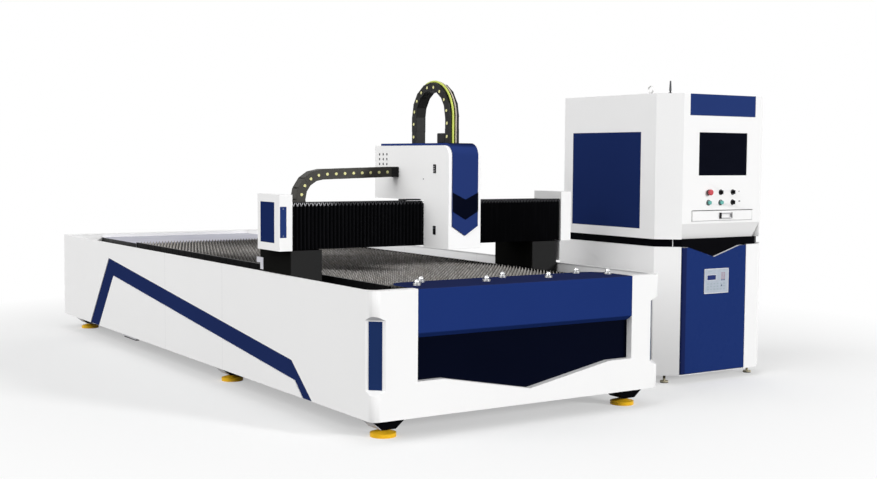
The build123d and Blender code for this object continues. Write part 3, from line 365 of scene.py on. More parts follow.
def axis_value(tree, place, axis):
    """One coordinate of the piece."""
    node = tree.nodes.new("ShaderNodeSeparateXYZ")
    tree.links.new(place, node.inputs["Vector"])
    return node.outputs[axis]


def facing_value(tree, axis):
    """One coordinate of the surface's own normal."""
    return axis_value(tree, tree.nodes.new("ShaderNodeNewGeometry").outputs["Normal"], axis)


def relief(tree, shade, height, depth):
    """Bump of a depth in metres on a shader."""
    node = tree.nodes.new("ShaderNodeBump")
    node.inputs["Distance"].default_value = depth
    tree.links.new(height, node.inputs["Height"])
    tree.links.new(node.outputs["Normal"], shade.inputs["Normal"])


def set_shader(tree, shade, colour, roughness, gloss):
    """Colour and roughness of a shader from sockets, and its gloss."""
    tree.links.new(colour, shade.inputs["Base Color"])
    tree.links.new(roughness, shade.inputs["Roughness"])
    shade.inputs["Specular IOR Level"].default_value = gloss


def shaded(colour, share):
    """A colour made darker or lighter by a share."""
    return tuple(channel * share for channel in colour)


def paint_clouds(tree, place, darker, colour):
    """Faint clouds between two depths of a coat."""
    return mix(tree, noise(tree, place, cloud_scale), darker, colour)


def lay_coat(tree, shade, place, colour, rough, gloss):
    """Powder coat of a colour, with soft changes of gloss and orange peel."""
    set_shader(tree, shade, colour, remap(tree, noise(tree, place, gloss_scale), *rough), gloss)
    relief(tree, shade, noise(tree, place, peel_scale, detail=1.0), peel_depth)


# Surfaces


def coated(name, colour, rough=(0.3, 0.4), cloud=0.94, gloss=0.07):
    """Powder coat in one colour, with faint darker clouds."""
    material, tree, shade, place = new_surface(name)
    lay_coat(tree, shade, place, paint_clouds(tree, place, shaded(colour, cloud), colour), rough, gloss)
    return material


def moulded(name, colour, rough=(0.42, 0.56), gloss=0.15):
    """Moulded plastic with a fine eroded grain."""
    material, tree, shade, place = new_surface(name)
    tints = mix(tree, noise(tree, place, mould_tint_scale), colour, shaded(colour, mould_tint_share))
    set_shader(tree, shade, tints, remap(tree, noise(tree, place, mould_gloss_scale), *rough), gloss)
    relief(tree, shade, noise(tree, place, mould_grain_scale, detail=1.0), mould_grain_depth)
    return material


def machined(name, colour, rough=(0.22, 0.36), stretch=(1, 1, 1), scratch=300.0):
    """Bare metal with tool marks along one direction."""
    material, tree, shade, place = new_surface(name)
    marks = noise(tree, place, scratch, stretch)
    tree.links.new(mix(tree, marks, shaded(colour, metal_shade_share), colour), shade.inputs["Base Color"])
    tree.links.new(remap(tree, marks, *rough), shade.inputs["Roughness"])
    relief(tree, shade, marks, tool_mark_depth)
    shade.inputs["Metallic"].default_value = 1.0
    return material


def banded(name, axis, steps, first, rough=(0.3, 0.4), gloss=0.15):
    """Colour that changes along one axis, at given places, on a softly varied gloss."""
    material, tree, shade, place = new_surface(name)
    along = axis_value(tree, place, axis)
    colour = first
    for limit, next_colour in steps:
        colour = mix(tree, maths(tree, "GREATER_THAN", along, limit), colour, next_colour)
    soil = remap(tree, noise(tree, place, soil_scale), 0.0, soil_share)
    roughness = remap(tree, noise(tree, place, band_gloss_scale), *rough)
    set_shader(tree, shade, mix(tree, soil, colour, soil_colour), roughness, gloss)
    relief(tree, shade, noise(tree, place, band_grain_scale, detail=1.0), band_grain_depth)
    return material


def lit_and_shaded_coat(name, front, turned, axis="Y", turn=(-0.7, -0.3)):
    """Coat of two depths as painted light, a lit and a shaded copy of one colour, which change where the
    normal's coordinate passes a turn.
    """
    material, tree, shade, place = new_surface(name)
    forward = remap(tree, facing_value(tree, axis), 1.0, 0.0, *turn)
    tones = [paint_clouds(tree, place, shaded(tone, tone_share), tone) for tone in (turned, front)]
    lay_coat(tree, shade, place, mix(tree, forward, *tones), rough=(0.3, 0.4), gloss=0.0)
    return material


def seamed_white(name):
    """White coat of the long covers, with the joints between their sheets."""
    material, tree, shade, place = new_surface(name)
    along = axis_value(tree, place, "Y")
    colour = paint_clouds(tree, place, (0.848, 0.846, 0.844), coat_white)
    for seam in cover_seams:
        colour = mix(tree, maths(tree, "COMPARE", along, seam, seam_half), colour, (0.60, 0.60, 0.61))
    lay_coat(tree, shade, place, colour, white_rough, gloss=0.2)
    return material


def rear_paint(name):
    """White rear cover, with its lavender deck as painted shade on the white coat, and the deck black on the
    side that closes the channel.
    """
    material, tree, shade, place = new_surface(name)
    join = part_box("side_covers")[1].y
    sideways = remap(tree, facing_value(tree, "X"), 1.0, 0.0, -0.7, -0.3)
    # The deck's lavender gray is painted shade on a white part
    lavender = paint_clouds(tree, place, (0.37, 0.37, 0.445), (0.455, 0.455, 0.54))
    deck = mix(tree, sideways, lavender, (0.006, 0.006, 0.0065))
    behind = remap(tree, axis_value(tree, place, "Y"), 0.0, 1.0, *(join - lap for lap in deck_lap))
    lay_coat(tree, shade, place, mix(tree, behind, deck, coat_white), white_rough, gloss=0.15)
    return material


def door_paint(name):
    """Blue door: white on its upward faces, those of the notch, as a painted highlight, and darker blue on
    the strip at its left edge as painted shade of its fold.
    """
    material, tree, shade, place = new_surface(name)
    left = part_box("lower_door")[0].x
    # Painted shade of the fold: darker blue by place along the left edge
    fold = remap(tree, axis_value(tree, place, "X"), 1.0, 0.0, *(left + width for width in door_fold_shade_width))
    blue = paint_clouds(tree, place, (0.0105, 0.028, 0.135), (0.012, 0.032, 0.152))
    blue = mix(tree, fold, blue, (0.0088, 0.016, 0.078))
    # Upward faces white: a painted highlight
    upward = remap(tree, facing_value(tree, "Z"), 0.0, 1.0, 0.3, 0.35)
    lay_coat(tree, shade, place, mix(tree, upward, blue, coat_white), rough=(0.26, 0.3), gloss=0.02)
    return material


def slat_metal(name):
    """Laser-cut slats: pale streaked faces with tarnish and dark, oxidised cut edges, the teeth darker
    towards their roots as painted shade and the rows darker towards the front of the bed.
    """
    material, tree, shade, place = new_surface(name)
    dull, bright = (0.23, 0.218, 0.205), (0.62, 0.60, 0.575)
    tarnish, front_dark_tone = (0.36, 0.29, 0.23), (0.11, 0.106, 0.10)
    root_shade, cut_edge = (0.018, 0.017, 0.016), (0.02, 0.019, 0.018)
    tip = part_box("slats")[1].z
    streaks = noise(tree, place, streak_scale, streak_stretch, 5.0)
    colour = mix(tree, remap(tree, streaks, 0.0, 1.0), dull, bright)
    stain = remap(tree, noise(tree, place, tarnish_scale), 0.0, 0.35, 0.45, 0.75)
    colour = mix(tree, stain, colour, tarnish)
    # Slats darker towards the front of the bed
    toward_front = remap(tree, axis_value(tree, place, "Y"), 0.25, 0.0, *front_darkening_run)
    colour = mix(tree, toward_front, colour, front_dark_tone)
    # Teeth darker towards their roots: painted shade in the gaps between them
    height = remap(tree, axis_value(tree, place, "Z"), 0.0, 1.0, tip - root_shade_depth, tip - tip_band_depth)
    colour = mix(tree, height, root_shade, colour)
    edge = remap(tree, maths(tree, "ABSOLUTE", facing_value(tree, "Y")), 1.0, 0.0, 0.4, 0.6)
    set_shader(tree, shade, mix(tree, edge, colour, cut_edge), remap(tree, streaks, 0.42, 0.7), gloss=0.08)
    relief(tree, shade, noise(tree, place, crust_scale, detail=5.0), crust_depth)
    return material


def bellows_cloth(name):
    """Coated black fabric with a fine weave and chafed folds."""
    material, tree, shade, place = new_surface(name)
    sound, chafed = (0.0040, 0.0042, 0.0055), (0.0095, 0.0098, 0.0120)
    chafe = remap(tree, noise(tree, place, chafe_scale, chafe_stretch, 4.0), 0.0, 1.0, 0.5, 0.8)
    roughness = remap(tree, chafe, 0.5, 0.62, 0.0, 1.0)
    set_shader(tree, shade, mix(tree, chafe, sound, chafed), roughness, gloss=0.08)
    weave = tree.nodes.new("ShaderNodeTexVoronoi")
    weave.inputs["Scale"].default_value = weave_scale
    tree.links.new(place, weave.inputs["Vector"])
    relief(tree, shade, weave.outputs["Distance"], weave_depth)
    return material


def painted_pleat_highlights(name):
    """Painted highlights on the pleats' top corners, bright beside the left end box and dull past it."""
    material, tree, shade, place = new_surface(name)
    past = remap(tree, axis_value(tree, place, "X"), 0.0, 1.0, *highlight_fade)
    highlight_tint = mix(tree, noise(tree, place, mould_tint_scale), (0.40, 0.40, 0.42), (0.56, 0.56, 0.58))
    roughness = remap(tree, noise(tree, place, mould_gloss_scale), 0.42, 0.56)
    set_shader(tree, shade, mix(tree, past, highlight_tint, (0.055, 0.055, 0.06)), roughness, gloss=0.1)
    return material


def screen_glass(name):
    """Dark glass with the faintest smears."""
    material, tree, shade, place = new_surface(name)
    smears = noise(tree, place, smear_scale, smear_stretch, 4.0)
    colour = mix(tree, smears, (0.0028, 0.0035, 0.0075), (0.0042, 0.005, 0.0105))
    set_shader(tree, shade, colour, remap(tree, smears, 0.05, 0.16), gloss=0.004)
    return material


# Coats
white_paint = coated("white_powder_coat", coat_white, white_rough, cloud=0.975, gloss=0.2)
# The head cover's white is paler than the other whites, as painted light on the head cover
head_white = coated("head_white_coat_painted_light", (0.95, 0.948, 0.945), white_rough, cloud=0.98, gloss=0.2)
cover_white = seamed_white("seamed_white_coat")
rear_white = rear_paint("rear_white_and_painted_deck_shade")
navy_paint = coated("navy_gloss_coat", (0.0011, 0.0022, 0.0095), (0.16, 0.26), cloud=0.8, gloss=0.015)
black_paint = coated("black_coat", (0.002, 0.002, 0.003), (0.36, 0.5), cloud=0.7, gloss=0.01)
gray_paint = coated("frame_gray_coat", (0.30, 0.305, 0.32), (0.4, 0.55), cloud=0.9)
lavender_gray = coated("tray_gray_coat", (0.50, 0.50, 0.56), (0.35, 0.5), cloud=0.85)
bracket_gray = coated("bracket_gray_coat", (0.62, 0.62, 0.66), cloud=0.9)
# Head, deck, panel, stripe and leg coats: each face's depth follows the way it turns, as painted light and
# shade
head_blue = lit_and_shaded_coat("head_blue_coat_painted_light", (0.0205, 0.041, 0.168), (0.007, 0.011, 0.045), "Z", (0.6, 0.95))
deck_blue = lit_and_shaded_coat("deck_blue_coat_painted_light", (0.0135, 0.034, 0.163), (0.0186, 0.026, 0.087), "Z", (0.4, 0.8))
panel_blue = lit_and_shaded_coat("panel_blue_coat_painted_light", (0.021, 0.043, 0.167), (0.0115, 0.0245, 0.105))
stripe_blue = lit_and_shaded_coat("stripe_blue_coat_painted_light", (0.0145, 0.033, 0.117), (0.0155, 0.028, 0.108))
door_blue = door_paint("door_blue_painted_highlight_and_fold_shade")
leg_charcoal = lit_and_shaded_coat("charcoal_coat_painted_shade", (0.025, 0.025, 0.025), (0.0085, 0.0085, 0.008))

# Metals
slat_steel = slat_metal("slat_steel_scale")
rail_steel = machined("ground_rail_steel", (0.22, 0.225, 0.235), stretch=(1, 0.02, 1))
zinc_steel = machined("zinc_plated_steel", (0.72, 0.72, 0.71), rough=(0.25, 0.4))
aluminium = machined("milled_aluminium", (0.62, 0.625, 0.64), stretch=(1, 1, 0.03))
brass = machined("turned_brass", (0.72, 0.5, 0.2), stretch=(1, 1, 0.1))
chrome = machined("polished_ball_steel", (0.86, 0.87, 0.88), rough=(0.05, 0.12), scratch=60.0)

# Plastics, cloth and glass
chain_plastic = moulded("chain_plastic", (0.038, 0.036, 0.031))
arch_plastic = moulded("arch_chain_plastic", (0.0095, 0.0095, 0.009))
chain_pin_plastic = moulded("chain_pin_plastic", (0.66, 0.64, 0.30), rough=(0.3, 0.4))
black_plastic = moulded("black_plastic", (0.005, 0.005, 0.006), rough=(0.34, 0.46))
red_plastic = moulded("red_plastic", (0.50, 0.07, 0.085), rough=(0.25, 0.36))
green_plastic = moulded("teal_plastic", (0.12, 0.38, 0.34), rough=(0.25, 0.36))
membrane = moulded("keypad_membrane", (0.37, 0.41, 0.47), rough=(0.3, 0.4))
key_gray = moulded("keypad_keys", (0.30, 0.36, 0.40))
key_red = moulded("keypad_red_keys", (0.30, 0.20, 0.25))
lcd_blue = moulded("keypad_lcd", (0.022, 0.034, 0.13), rough=(0.1, 0.2), gloss=0.02)
screw_gray = moulded("screw_gray", (0.22, 0.24, 0.28))
antenna_gray = moulded("antenna_gray", (0.07, 0.072, 0.078))
seam_gray = moulded("seam_gray", (0.62, 0.62, 0.63))
pleat_cloth_black = bellows_cloth("bellows_cloth")
pleat_highlight_gray = painted_pleat_highlights("painted_pleat_corner_highlights")
glass = screen_glass("screen_glass")

# Pieces of several colours, each changing along one axis
grip_low, grip_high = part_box("drawer_handle")
cable_low, cable_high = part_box("fiber_lines")
cable_middle = (cable_low.x + cable_high.x) / 2 + cable_shift
# Side frames black, and pale lavender past x = 0 as painted light in the right channel
channel_paint = banded("channel_coat_and_painted_light", "X", [(0.0, (0.40, 0.40, 0.44))], (0.004, 0.004, 0.0045), gloss=0.04)
pad_yellow = banded("pad_yellow_and_stud", "Z", [(pad_top, (0.5, 0.49, 0.47))], (0.95, 0.54, 0.02))
foot_bands = banded(
    "cabinet_foot_bands",
    "Z",
    [(foot_rubber_top, (0.55, 0.5, 0.36)), (foot_pad_top, (0.1, 0.085, 0.05))],
    (0.012, 0.012, 0.012),
)
handle_coats = banded(
    "drawer_handle_coats",
    "X",
    [(grip_low.x + handle_end, (0.62, 0.62, 0.63)), (grip_high.x - handle_end, (0.02, 0.02, 0.022))],
    (0.02, 0.02, 0.022),
)
cable_jackets = banded(
    "cable_jackets", "X", [(cable_middle, (0.62, 0.55, 0.47))], (0.62, 0.70, 0.14), rough=(0.35, 0.45)
)


def dress(material, names):
    """Gives CAD nodes their finish."""
    for name in names.split():
        nodes[name].data.materials.clear()
        nodes[name].data.materials.append(material)


dress(cover_white, "side_covers")
dress(head_white, "head_cover")
dress(white_paint, "front_cover end_boxes cabinet_base cabinet_upper keyboard_drawer")
dress(rear_white, "rear_cover")
dress(head_blue, "head_front_panel")
dress(deck_blue, "front_panel")
dress(panel_blue, "end_box_panels cabinet_panels")
dress(stripe_blue, "blue_stripes")
dress(door_blue, "lower_door")
dress(navy_paint, "front_recess_panel head_chevron")
dress(black_paint, "foot_brackets cabinet_band beam door_hinges")
dress(leg_charcoal, "left_leg right_leg")
dress(channel_paint, "side_frames slat_holders")
dress(gray_paint, "cross_members laser_source")
dress(lavender_gray, "slag_tray")
dress(pad_yellow, "levelling_feet")
dress(slat_steel, "slats")
dress(rail_steel, "y_guides y_blocks x_guides x_blocks z_actuator")
dress(zinc_steel, "lifting_eyes ball_cups")
dress(foot_bands, "cabinet_feet")
dress(chrome, "transfer_balls")
dress(chain_plastic, "x_chain z_chain")
dress(black_plastic, "y_drives x_drive head_sockets antenna power_selector mode_selector light_selector")
dress(pleat_cloth_black, "left_bellows right_bellows")
dress(cable_jackets, "fiber_lines")
dress(aluminium, "carriage_plate z_slide cutting_head_body")
dress(brass, "nozzle")
dress(handle_coats, "drawer_handle")
dress(glass, "monitor")
dress(membrane, "door_display")
dress(red_plastic, "stop_button")
dress(green_plastic, "start_button reset_button")


def soften(names):
    """Broken edges on folded sheet and castings."""
    for name in names.split():
        weld = nodes[name].modifiers.new("weld", "WELD")
        weld.merge_threshold = edge_weld
        edge = nodes[name].modifiers.new("edge", "BEVEL")
        edge.width = edge_radius
        edge.segments = 2
        edge.limit_method = "ANGLE"
        edge.angle_limit = edge_angle
        edge.harden_normals = True


soften("side_covers front_cover rear_cover front_panel")
soften("end_boxes head_cover head_front_panel left_leg right_leg beam")
soften("cabinet_base cabinet_upper cabinet_band lower_door keyboard_drawer drawer_handle monitor")


# Mesh tools

upright = Matrix.Identity(4)
facing_front = Matrix.Rotation(math.pi / 2, 4, "X")
facing_left = Matrix.Rotation(-math.pi / 2, 4, "Y")


def finished(name, mesh, materials):
    """An object made from a mesh under work."""
    bmesh.ops.recalc_face_normals(mesh, faces=mesh.faces)
    data = bpy.data.meshes.new(name)
    mesh.to_mesh(data)
    mesh.free()
    for material in materials:
        data.materials.append(material)
    item = bpy.data.objects.new(name, data)
    scene.collection.objects.link(item)
    return item


def bar(mesh, place, size, middle=(0, 0, 0), edge=0.0, finish=0):
    """Block of a size around a point of a local frame, with its edges broken."""
    shape = place @ Matrix.Translation(middle) @ Matrix.Diagonal((*size, 1))
    corners = bmesh.ops.create_cube(mesh, size=1, matrix=shape)["verts"]
    for face in {face for corner in corners for face in corner.link_faces}:
        face.material_index = finish
    if edge:
        edges = list({side for corner in corners for side in corner.link_edges})
        bmesh.ops.bevel(mesh, geom=edges, offset=edge, affect="EDGES", segments=1, profile=0.5, material=-1)


def rod(mesh, place, radius, height, middle=(0, 0, 0), edge=0.0, finish=0, sides=16):
    """Round piece along a local frame's Z, with its far rim broken."""
    shape = place @ Matrix.Translation(middle)
    corners = bmesh.ops.create_cone(
        mesh, cap_ends=True, segments=sides, radius1=radius, radius2=radius, depth=height, matrix=shape
    )["verts"]
    for face in {face for corner in corners for face in corner.link_faces}:
        face.material_index = finish
    if edge:
        axis = place.to_3x3().col[2]
        high = max(corner.co.dot(axis) for corner in corners)
        top = {corner for corner in corners if corner.co.dot(axis) > high - height / 2}
        edges = {side for corner in top for side in corner.link_edges}
        rim = [side for side in edges if set(side.verts) <= top]
        bmesh.ops.bevel(mesh, geom=rim, offset=edge, affect="EDGES", segments=2, profile=0.5, material=-1)


def ring(mesh, place, inner, outer, height, sides=32):
    """Flat ring around a local frame's Z, turned from its section."""
    chamfer = height * ring_chamfer_share
    section = [(inner, 0), (outer, 0), (outer, height - chamfer), (outer - chamfer, height), (inner, height)]
    corners = [mesh.verts.new(place @ Vector((x, 0, z))) for x, z in section]
    edges = [mesh.edges.new((corners[i - 1], corners[i])) for i in range(len(corners))]
    bmesh.ops.spin(
        mesh,
        geom=corners + edges,
        cent=place.translation,
        axis=place.to_3x3().col[2],
        angle=2 * math.pi,
        steps=sides,
        use_merge=True,
    )


def repeat(mesh, geom, step, count):
    """A row of copies of geometry, one step apart."""
    bmesh.ops.spin(mesh, geom=geom, angle=0, steps=count - 1, dvec=step, axis=(0, 0, 1), use_duplicate=True)


# Energy chains


def run_points(start, end, link_length):
    """Hinge points of a straight run, without its last one."""
    count = max(1, round((end - start).length / link_length))
    return [start.lerp(end, i / count) for i in range(count)]


def bend_points(centre, arm, axis, link_length):
    """Hinge points of a half turn about an axis, without its last one."""
    count = max(3, round(math.pi * arm.length / link_length))
    return [centre + Matrix.Rotation(math.pi * i / count, 3, axis) @ arm for i in range(count)]


def chain_link(mesh, start, end, across, width, thickness, tuck):
    """Side plates, their linings, pins, cross bars and cables of one link between two hinge points."""
    along = (end - start).normalized()
    up = across.cross(along)
    place = Matrix((along, up, across)).transposed().to_4x4()
    place.translation = (start + end) / 2
    length = (end - start).length
    plate = (length * plate_lap, thickness - tuck, plate_wall)
    lining = (length * lining_lap, thickness * lining_height_share, plate_wall * lining_wall_share)
    cross_bar = (length * bar_lap, bar_wall, width - 2 * plate_wall)
    for side in (-1, 1):
        bar(mesh, place, plate, (0, 0, side * ((width - plate_wall) / 2 - tuck)), edge=plate_edge)
        bar(mesh, place, lining, (0, 0, side * (width / 2 - plate_wall * lining_inset_share)))
        bar(mesh, place, cross_bar, (0, side * ((thickness - bar_wall) / 2 - tuck), 0), edge=bar_edge)
        outward = place @ Matrix.Rotation(math.pi, 4, "X") if side < 0 else place
        rod(mesh, outward, pin_radius, pin_height, (0, 0, (width + pin_height) / 2), edge=pin_edge, finish=1)
    bar(mesh, place, (length * bar_lap, thickness / 2 - tuck, width / 2 - tuck))


def chain_piece(name, points, across, width, thickness, plastic):
    """Links along a row of hinge points."""
    mesh = bmesh.new()
    for i, (start, end) in enumerate(zip(points, points[1:])):
        chain_link(mesh, start, end, across, width, thickness, tuck=i % 2 * link_tuck)
    return finished(name, mesh, [plastic, chain_pin_plastic])


def cross_axis_chain():
    """Chain that runs from the beam round its bend to the carriage."""
    low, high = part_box("x_chain")
    head_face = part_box("head_cover")[0].x
    half = x_chain_thickness / 2
    radius = (high.z - low.z - x_chain_sag) / 2 - half
    middle = (low.y + high.y) / 2
    width = high.y - low.y
    across = Vector((0, 1, 0))
    centre = Vector((low.x + half + radius, middle, low.z + half + radius))
    arm = Vector((0, 0, -radius))
    fixed_end = Vector((high.x, middle, low.z + half))
    head_end = Vector((head_face - x_chain_end, middle, high.z - half))
    lower = run_points(fixed_end, centre + arm, x_link_length) + [centre + arm]
    bend = bend_points(centre, arm, across, x_link_length) + [centre - arm]
    upper = run_points(centre - arm, head_end, x_link_length) + [head_end]
    # The bend lies halfway between far ends; on the machine it moves as one, by half of the carriage's way,
    # and here it is made as a piece of its own
    lower_run = chain_piece("x_chain_lower_run", lower, across, width, x_chain_thickness, chain_plastic)
    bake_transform(lower_run)
    bend_run = chain_piece("x_chain_bend", bend, across, width, x_chain_thickness, chain_plastic)
    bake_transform(bend_run)
    upper_run = chain_piece("x_chain_upper_run", upper, across, width, x_chain_thickness, chain_plastic)
    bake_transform(upper_run)
    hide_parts("x_chain")
    mesh = bmesh.new()
    anchor = head_end + Vector((x_chain_end / 2, 0, 0))
    bar(mesh, upright, (x_chain_end, width, x_chain_thickness), anchor, edge=x_chain_end_edge)
    for row in (-1, 0, 1):
        rib = anchor + Vector((0, -width / 2, row * x_chain_thickness / 3))
        bar(mesh, upright, (x_chain_end, rib_depth, x_chain_thickness / 6), rib, edge=bar_edge)
    bracket = finished("x_chain_head_bracket", mesh, [black_plastic])
    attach(bracket, "carriage")


def head_chain():
    """Arched chain over the carriage, with its clamp block."""
    low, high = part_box("z_chain")
    half = z_chain_thickness / 2
    radius = (high.y - low.y) / 2 - half
    width = high.x - low.x
    centre = Vector(((low.x + high.x) / 2, (low.y + high.y) / 2, high.z - half - radius))
    arm = Vector((0, -radius, 0))
    foot = Vector((0, 0, low.z - centre.z))
    across = Vector((1, 0, 0))
    there = run_points(centre + arm + foot, centre + arm, z_link_length)
    bend = bend_points(centre, arm, -across, z_link_length)
    back = run_points(centre - arm, centre - arm + foot, z_link_length) + [centre - arm + foot]
    links = chain_piece("z_chain_links", there + bend + back, across, width, z_chain_thickness, arch_plastic)
    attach(links, "carriage")
    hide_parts("z_chain")
    clamp = bmesh.new()
    clamp_front = low.y + z_chain_thickness + clamp_gap
    clamp_middle = (centre.x, clamp_front + clamp_length / 2, low.z + clamp_height / 2)
    bar(clamp, upright, (width, clamp_length, clamp_height), clamp_middle, edge=clamp_edge)
    block = finished("z_chain_clamp", clamp, [black_plastic])
    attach(block, "carriage")


cross_axis_chain()
head_chain()


# Bellows


def bellows(name, node):
    """Pleated cover between an end box and the carriage."""
    low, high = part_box(node)
    pitch = (high.x - low.x) / pleat_count
    crest = low.y + pleat_cloth / 2
    root = crest + pleat_depth
    mesh = bmesh.new()
    fold = [(low.x, root, low.z), (low.x + pitch / 2, crest, low.z), (low.x + pitch, root, low.z)]
    corners = [mesh.verts.new(point) for point in fold]
    folds = [mesh.edges.new(pair) for pair in zip(corners, corners[1:])]
    repeat(mesh, corners + folds, (pitch, 0, 0), pleat_count)
    bmesh.ops.remove_doubles(mesh, verts=mesh.verts, dist=pitch / 100)
    walls = bmesh.ops.extrude_edge_only(mesh, edges=mesh.edges)["geom"]
    tops = [item for item in walls if isinstance(item, bmesh.types.BMVert)]
    bmesh.ops.translate(mesh, verts=tops, vec=(0, 0, high.z - low.z))
    bmesh.ops.solidify(mesh, geom=mesh.faces, thickness=pleat_cloth)
    flap_depth = high.y - root
    flap_place = ((low.x + high.x) / 2, root + flap_depth / 2, high.z - flap_drop - pleat_cloth / 2)
    bar(mesh, upright, (high.x - low.x, flap_depth, pleat_cloth), flap_place)
    # Pale bars at the pleats' top corners are painted highlights
    lean = math.atan2(pitch * mark_spread, mark_height)
    for i in range(pleat_count):
        for side in (-1, 1):
            place = Matrix.Translation((low.x + (i + 0.5) * pitch, low.y, high.z - mark_height))
            place = place @ Matrix.Rotation(side * lean, 4, "Y")
            bar(mesh, place, (mark_width, mark_sheet, mark_height), (0, 0, mark_height / 2), finish=1)
    cover = finished(name, mesh, [pleat_cloth_black, pleat_highlight_gray])
    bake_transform(cover)
    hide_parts(node)


bellows("left_pleats", "left_bellows")
bellows("right_pleats", "right_bellows")


# Cutting table


def slat_field():
    """Rows of toothed slats, one at each holder slot and one between."""
    low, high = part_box("slats")
    left = low.x + holder_width
    pitch = (high.x - low.x - 2 * holder_width) / slat_teeth
    root = high.z - tooth_depth
    mesh = bmesh.new()
    outline = [
        (left, low.y, low.z),
        (left + pitch, low.y, low.z),
        (left + pitch, low.y, root),
        (left + pitch / 2, low.y, high.z),
        (left, low.y, root),
    ]
    near = [mesh.verts.new(point) for point in outline]
    tooth = mesh.faces.new(near)
    copies = bmesh.ops.duplicate(mesh, geom=[tooth])["vert_map"]
    far = [copies[corner] for corner in near]
    bmesh.ops.translate(mesh, verts=far, vec=(0, slat_thickness, 0))
    # The bottom and the two slopes are closed, and the upright sides stay open to the next teeth
    for i in (0, 2, 3):
        mesh.faces.new((near[i], near[i + 1], far[i + 1], far[i]))
    repeat(mesh, mesh.verts[:] + mesh.edges[:] + mesh.faces[:], (pitch, 0, 0), slat_teeth)
    bmesh.ops.remove_doubles(mesh, verts=mesh.verts, dist=pitch / 100)
    for end in (low.x + holder_width / 2, high.x - holder_width / 2):
        middle = (end, low.y + slat_thickness / 2, (low.z + root) / 2)
        bar(mesh, upright, (holder_width, slat_thickness, root - low.z), middle)
    row_pitch = (high.y - low.y - slat_thickness) / (slat_rows - 1)
    repeat(mesh, mesh.verts[:] + mesh.edges[:] + mesh.faces[:], (0, row_pitch, 0), slat_rows)
    field = finished("slat_rows", mesh, [slat_steel])
    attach(field, "base")
    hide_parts("slats")


slat_field()


# Fine pieces


def group(name, body, materials):
    """A new mesh and the call that closes it into a piece on a body."""
    mesh = bmesh.new()

    def close():
        piece = finished(name, mesh, materials)
        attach(piece, body)

    return mesh, close


def keypad():
    """Display window, keys and rim of the cooler's keypad on the door."""
    low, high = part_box("door_display")
    middle = (low + high) / 2
    width, height = high.x - low.x, high.z - low.z
    finishes = [key_gray, key_red, lcd_blue, seam_gray]
    gray, red, blue, pale = range(len(finishes))
    mesh, close = group("keypad_keys", "lower_door", finishes)

    def keys(place, size, finish, count=(1, 1), pitch=(0, 0), depth=key_depth):
        for column in range(count[0]):
            for row in range(count[1]):
                x = middle.x + place[0] + pitch[0] * column
                z = middle.z + place[1] - pitch[1] * row
                bar(mesh, upright, (size[0], depth, size[1]), (x, low.y, z), finish=finish)

    keys(window_place, window_frame, pale)
    keys(window_place, window_size, blue, depth=window_depth)
    keys(red_key_place, side_key_size, red, red_key_count, side_key_pitch)
    keys(blue_key_place, side_key_size, blue, blue_key_count, side_key_pitch)
    keys(lamp_place, lamp_size, gray, lamp_count, lamp_pitch)
    keys(gray_key_place, gray_key_size, gray, gray_key_count, gray_key_pitch)
    keys(menu_key_place, menu_key_size, blue)
    keys(long_key_place, long_key_size, gray)
    for side in (-1, 1):
        keys((side * (width - keypad_rim) / 2, 0), (keypad_rim, height), pale)
        keys((0, side * (height - keypad_rim) / 2), (width - 2 * keypad_rim, keypad_rim), pale)
    close()


def control_collars():
    """Bezels of the six controls, with the two indicators beside them."""
    mesh, close = group("control_collars", "base", [black_plastic])
    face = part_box("cabinet_upper")[0].y

    def beside(name, shift=(0, 0)):
        low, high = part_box(name)
        return (low.x + high.x) / 2 + shift[0], face, (low.z + high.z) / 2 + shift[1]

    names = "stop_button start_button reset_button power_selector mode_selector light_selector"
    for name in names.split():
        place = Matrix.Translation(beside(name)) @ facing_front
        ring(mesh, place, collar_inner, collar_outer, collar_height)
    indicator = Matrix.Translation(beside("mode_selector", indicator_shift)) @ facing_front
    rod(mesh, indicator, indicator_radius, indicator_height, edge=trim_edge)
    bar(mesh, upright, small_plate, beside("light_selector", small_plate_shift), edge=trim_edge)
    close()


def drawer_gap_shadow():
    """Painted shadow in the gap above and left of the keyboard drawer, with a pale line under it."""
    mesh, close = group("drawer_gap_shadow", "base", [black_plastic, seam_gray])
    low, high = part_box("keyboard_drawer")
    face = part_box("cabinet_upper")[0].y
    middle = (low + high) / 2
    length = high.x - low.x + gap_overrun[0]
    height = high.z - low.z + gap_overrun[1]
    bar(mesh, upright, (length, gap_sheet, gap_line), (middle.x, face, high.z + gap_rise))
    bar(mesh, upright, (gap_line, gap_sheet, height), (low.x - gap_side, face, middle.z))
    bar(mesh, upright, (length, gap_sheet, gap_pale_line), (middle.x, face, low.z - gap_rise), finish=1)
    close()


def end_box_screws():
    """Screws in the strip of the left end box."""
    low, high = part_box("end_box_panels")
    mesh, close = group("end_box_screws", "gantry", [screw_gray])
    for height in (high.z - strip_screw_drop, low.z + strip_screw_rise):
        place = Matrix.Translation((low.x + strip_screw_inset, low.y, height)) @ facing_front
        rod(mesh, place, screw_radius, screw_height, edge=screw_edge)
    close()


